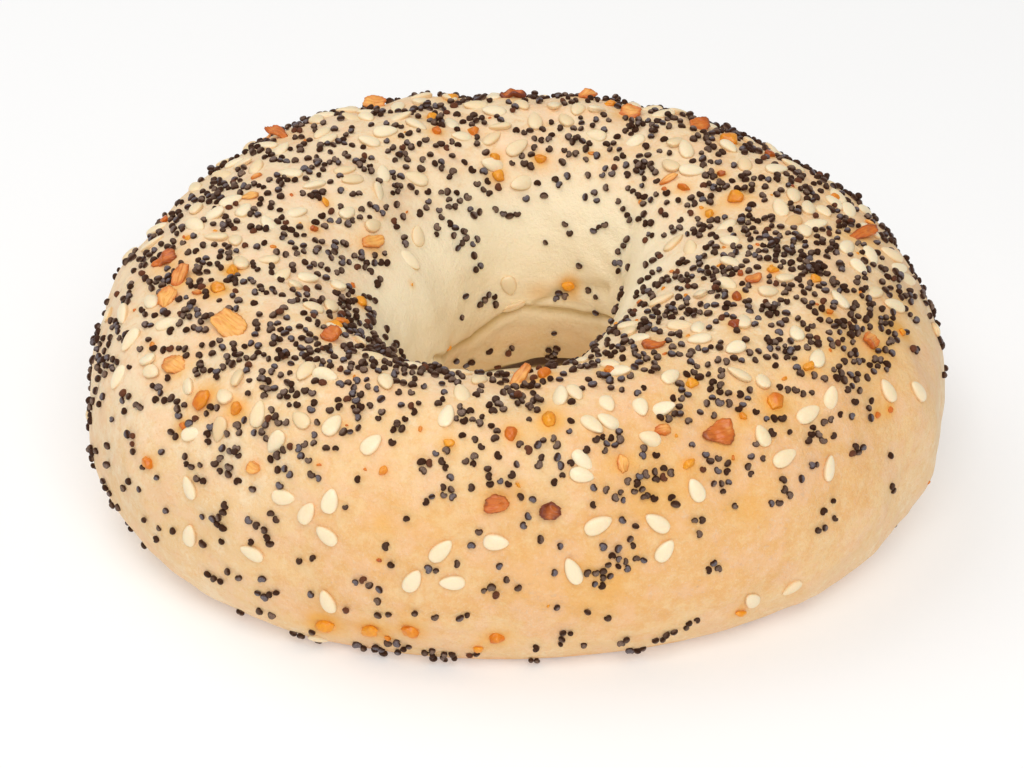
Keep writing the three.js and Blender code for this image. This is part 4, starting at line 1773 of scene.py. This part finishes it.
    def sow_dried(self) -> None:
        """Sows the small onion flakes, the garlic grains and the specks of both."""
        rng = np.random.default_rng(57)
        onion, garlic, specks = Heap(), Heap(), Heap()
        for grain in self.grains:
            laid = self.bread.lay(np.radians([grain.ring]), np.radians([grain.section]))
            form = granule_form(rng, grain.size, grain.size * rng.uniform(0.7, 0.95), grain.size * 0.7)
            frame = laid.frames(rng.uniform(0, FULL_TURN, 1))
            garlic.add(form, frame, laid.points + 0.15 * laid.out, np.array([grain.tone]))
            self.ground.claim(laid.points[0], grain.size * self.footprint_share)
            self.bread.stain(laid.points[0], grain.size, self.grain_halo)
        kinds = (
            (onion, self.onion, self.onion_bits),
            (garlic, self.garlic, self.garlic_bits),
            (specks, self.specks, self.speck_bits),
        )
        for heap, strewing, bits in kinds:
            ring, section = self._throw(strewing, rng)
            laid = self.bread.lay(ring, section)
            frames = laid.frames(rng.uniform(0, FULL_TURN, len(ring)), rng.normal(0, 0.12, len(ring)))
            for n, place in enumerate(laid.points):
                if self.ground.meets(place, bits.room):
                    continue
                size = rng.uniform(bits.shortest, bits.longest)
                slim = size * rng.uniform(0.45, 0.85)
                if heap is onion:
                    cut = list(Cut)[int(rng.integers(len(Cut)))]
                    form = flake_form(rng, size, slim, 0.45, cut, rng.uniform(-0.1, 0.15), (8, 40))
                else:
                    form = granule_form(rng, size, slim, size * rng.uniform(0.5, 0.75))
                place_above = (place + bits.height * laid.out[n])[None]
                heap.add(form, frames[n : n + 1], place_above, rng.beta(1.2, 2.0, 1))
                self.ground.claim(place, size * self.footprint_share)
                self.bread.stain(place, size, Halo(0.5, self.bit_halo_margin, bits.oil))
        hand_in(onion.build("onion_bits", ONION), "onion")
        hand_in(garlic.build("garlic_bits", GARLIC), "garlic")
        hand_in(specks.build("seasoning_specks", GARLIC), "garlic")

    def sow_poppy(self) -> None:
        """Sows the poppy seeds, many of them against one another and a few on top of others."""
        rng = np.random.default_rng(68)
        ring, section = self._throw(self.poppy, rng, self.poppy_excess)
        wanted = len(ring) / self.poppy_excess
        kept: list[tuple[float, float, float]] = []
        company: list[int] = []
        for r, s in zip(ring, section):
            if len(kept) >= wanted:
                break
            if kept and rng.random() < self.chaining:
                chosen = int(rng.integers(len(kept)))
                if company[chosen] >= self.company:
                    continue
                company[chosen] += 1
                near = kept[chosen]
                here = self.bread.lay(np.array([near[0]]), np.array([near[1]]))
                turn, step = rng.uniform(0, FULL_TURN), rng.uniform(*self.chained_step)
                r = near[0] + step * math.cos(turn) / here.ring_length[0]
                s = near[1] + step * math.sin(turn) / here.section_length[0]
            spot = self.bread.lay(np.array([r]), np.array([s]))
            place = spot.points[0]
            if place[2] < 0.64 - 0.36 * spot.out[0, 2]:  # it would dip into the table
                continue
            level = self.ground.rest(place, self.poppy_reach)
            if level is None or (level > 0 and rng.random() > self.stacking):
                continue
            place = place + level * spot.out[0]
            if level > 0 and self.ground.meets(place, self.stacking_gap):
                continue
            self.ground.claim(place, self.poppy_reach, Bearing.NOTHING if level > 0 else Bearing.BETWEEN)
            kept.append((r, s, level))
            company.append(0)
        ring, section, level = np.array(kept).T
        self._build_poppy(ring, section, level, rng)

    def _build_poppy(self, ring: Array, section: Array, level: Array, rng: np.random.Generator) -> None:
        """Makes the poppy seeds' pieces, one for each part of the bagel that they lie on.

        Args:
            ring: ring angles, in radians.
            section: section angles, in radians.
            level: how high each lies over the crust.
            rng: source of the random numbers.
        """
        laid = self.bread.lay(ring, section)
        number = len(ring)
        turned = rng.uniform(0, FULL_TURN, number)
        frames = laid.frames(turned, rng.normal(0, 0.45, number), rng.normal(0, 0.25, number))
        sizes = np.clip(rng.normal(*self.poppy_size, (number, 1, 1)), *self.poppy_sizes)
        sizes = sizes * rng.uniform(0.93, 1.06, (number, 1, 3))
        rise = np.where(level > 0, self.stacked_rise, rng.uniform(*self.poppy_rise, number))
        places = laid.points + (level + rise)[:, None] * laid.out
        tones = rng.beta(1.2, 1.2, number) * 0.94
        tones[rng.random(number) < self.rusty_share] = 1.0
        turns = np.degrees(section) % 360
        parts = {
            "poppy_seeds_crest": (turns >= 68) & (turns < 98),
            "poppy_seeds_round_hole": (turns >= 98) & (turns < 270),
            "poppy_seeds_flank": (turns >= 270) | (turns < 68),
        }
        for name, mine in parts.items():
            heap = Heap()
            heap.add(poppy_form(), (frames * sizes)[mine], places[mine], tones[mine])
            hand_in(heap.build(name, POPPY), "poppy")
            log.info("%s: %d seeds", name, int(mine.sum()))


# ---- studio ----


@dataclass(frozen=True)
class Panel:
    """A square light that faces the bagel: its place and its side in metres, and its watts."""

    name: str
    place: tuple[float, float, float]
    side: float
    watts: float

    def hang(self) -> None:
        """Hangs the light."""
        light = bpy.data.lights.new(self.name, "AREA")
        light.size, light.energy = self.side, self.watts
        panel = bpy.data.objects.new(self.name, light)
        panel.location = self.place
        panel.rotation_euler = Vector(self.place).to_track_quat("Z", "Y").to_euler()
        bpy.context.scene.collection.objects.link(panel)


@dataclass(frozen=True)
class Studio:
    """Pale floor, soft light from all round, a broad panel in front, one over the left side, and the camera."""

    floor_half: float = 2.0  # metres
    floor_height: float = -0.02
    sky: float = 0.42
    sky_colour: Colour = (1.0, 0.985, 0.96, 1)
    panels: tuple[Panel, ...] = (
        Panel("key_panel", (-0.34, 0.14, 0.64), 0.55, 1.75),
        Panel("front_panel", (0.06, -0.54, 0.60), 0.50, 3.5),
    )
    camera_rise: float = 33.0  # degrees over the floor
    camera_distance: float = 600.0
    camera_lens: float = 162.7
    aim: tuple[float, float, float] = (-0.64, -2.25, 14.19)

    def build(self) -> None:
        """Makes the floor, the lights and the camera."""
        half = self.floor_half / MM
        square = np.array([(0, 0), (1, 0), (1, 1), (0, 1)])
        corners = np.column_stack([half * (2 * square - 1), np.full(4, self.floor_height)])
        floor = mesh_object("floor", corners, np.array([[0, 1, 2, 3]]), square)
        floor.data.materials.append(FLOOR.material())
        world = bpy.data.worlds.new("soft_sky")
        world.use_nodes = True
        world.node_tree.nodes["Background"].inputs["Color"].default_value = self.sky_colour
        world.node_tree.nodes["Background"].inputs["Strength"].default_value = self.sky
        bpy.context.scene.world = world
        for panel in self.panels:
            panel.hang()
        self._camera()
        bpy.context.scene.view_settings.view_transform = "Standard"

    def _camera(self) -> None:
        """Points the camera at the bagel from in front and above."""
        rise = math.radians(self.camera_rise)
        back = Vector((0, -math.cos(rise), math.sin(rise)))
        lens = bpy.data.cameras.new("camera")
        lens.lens = self.camera_lens
        camera = bpy.data.objects.new("camera", lens)
        camera.location = (Vector(self.aim) + self.camera_distance * back) * MM
        camera.rotation_euler = back.to_track_quat("Z", "Y").to_euler()
        bpy.context.scene.collection.objects.link(camera)
        bpy.context.scene.camera = camera


def main() -> None:
    """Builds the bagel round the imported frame."""
    logging.basicConfig(level=logging.INFO, format="%(message)s")
    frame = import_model()
    Studio().build()
    bread = BreadRing()
    ground = Footprints()
    HeldToppings(bread, frame["nodes"], ground).build()
    seasoning = Seasoning(bread, ground)
    seasoning.sow_sesame()
    seasoning.sow_dried()
    seasoning.sow_poppy()
    bread.build()


if __name__ == "__main__":
    main()
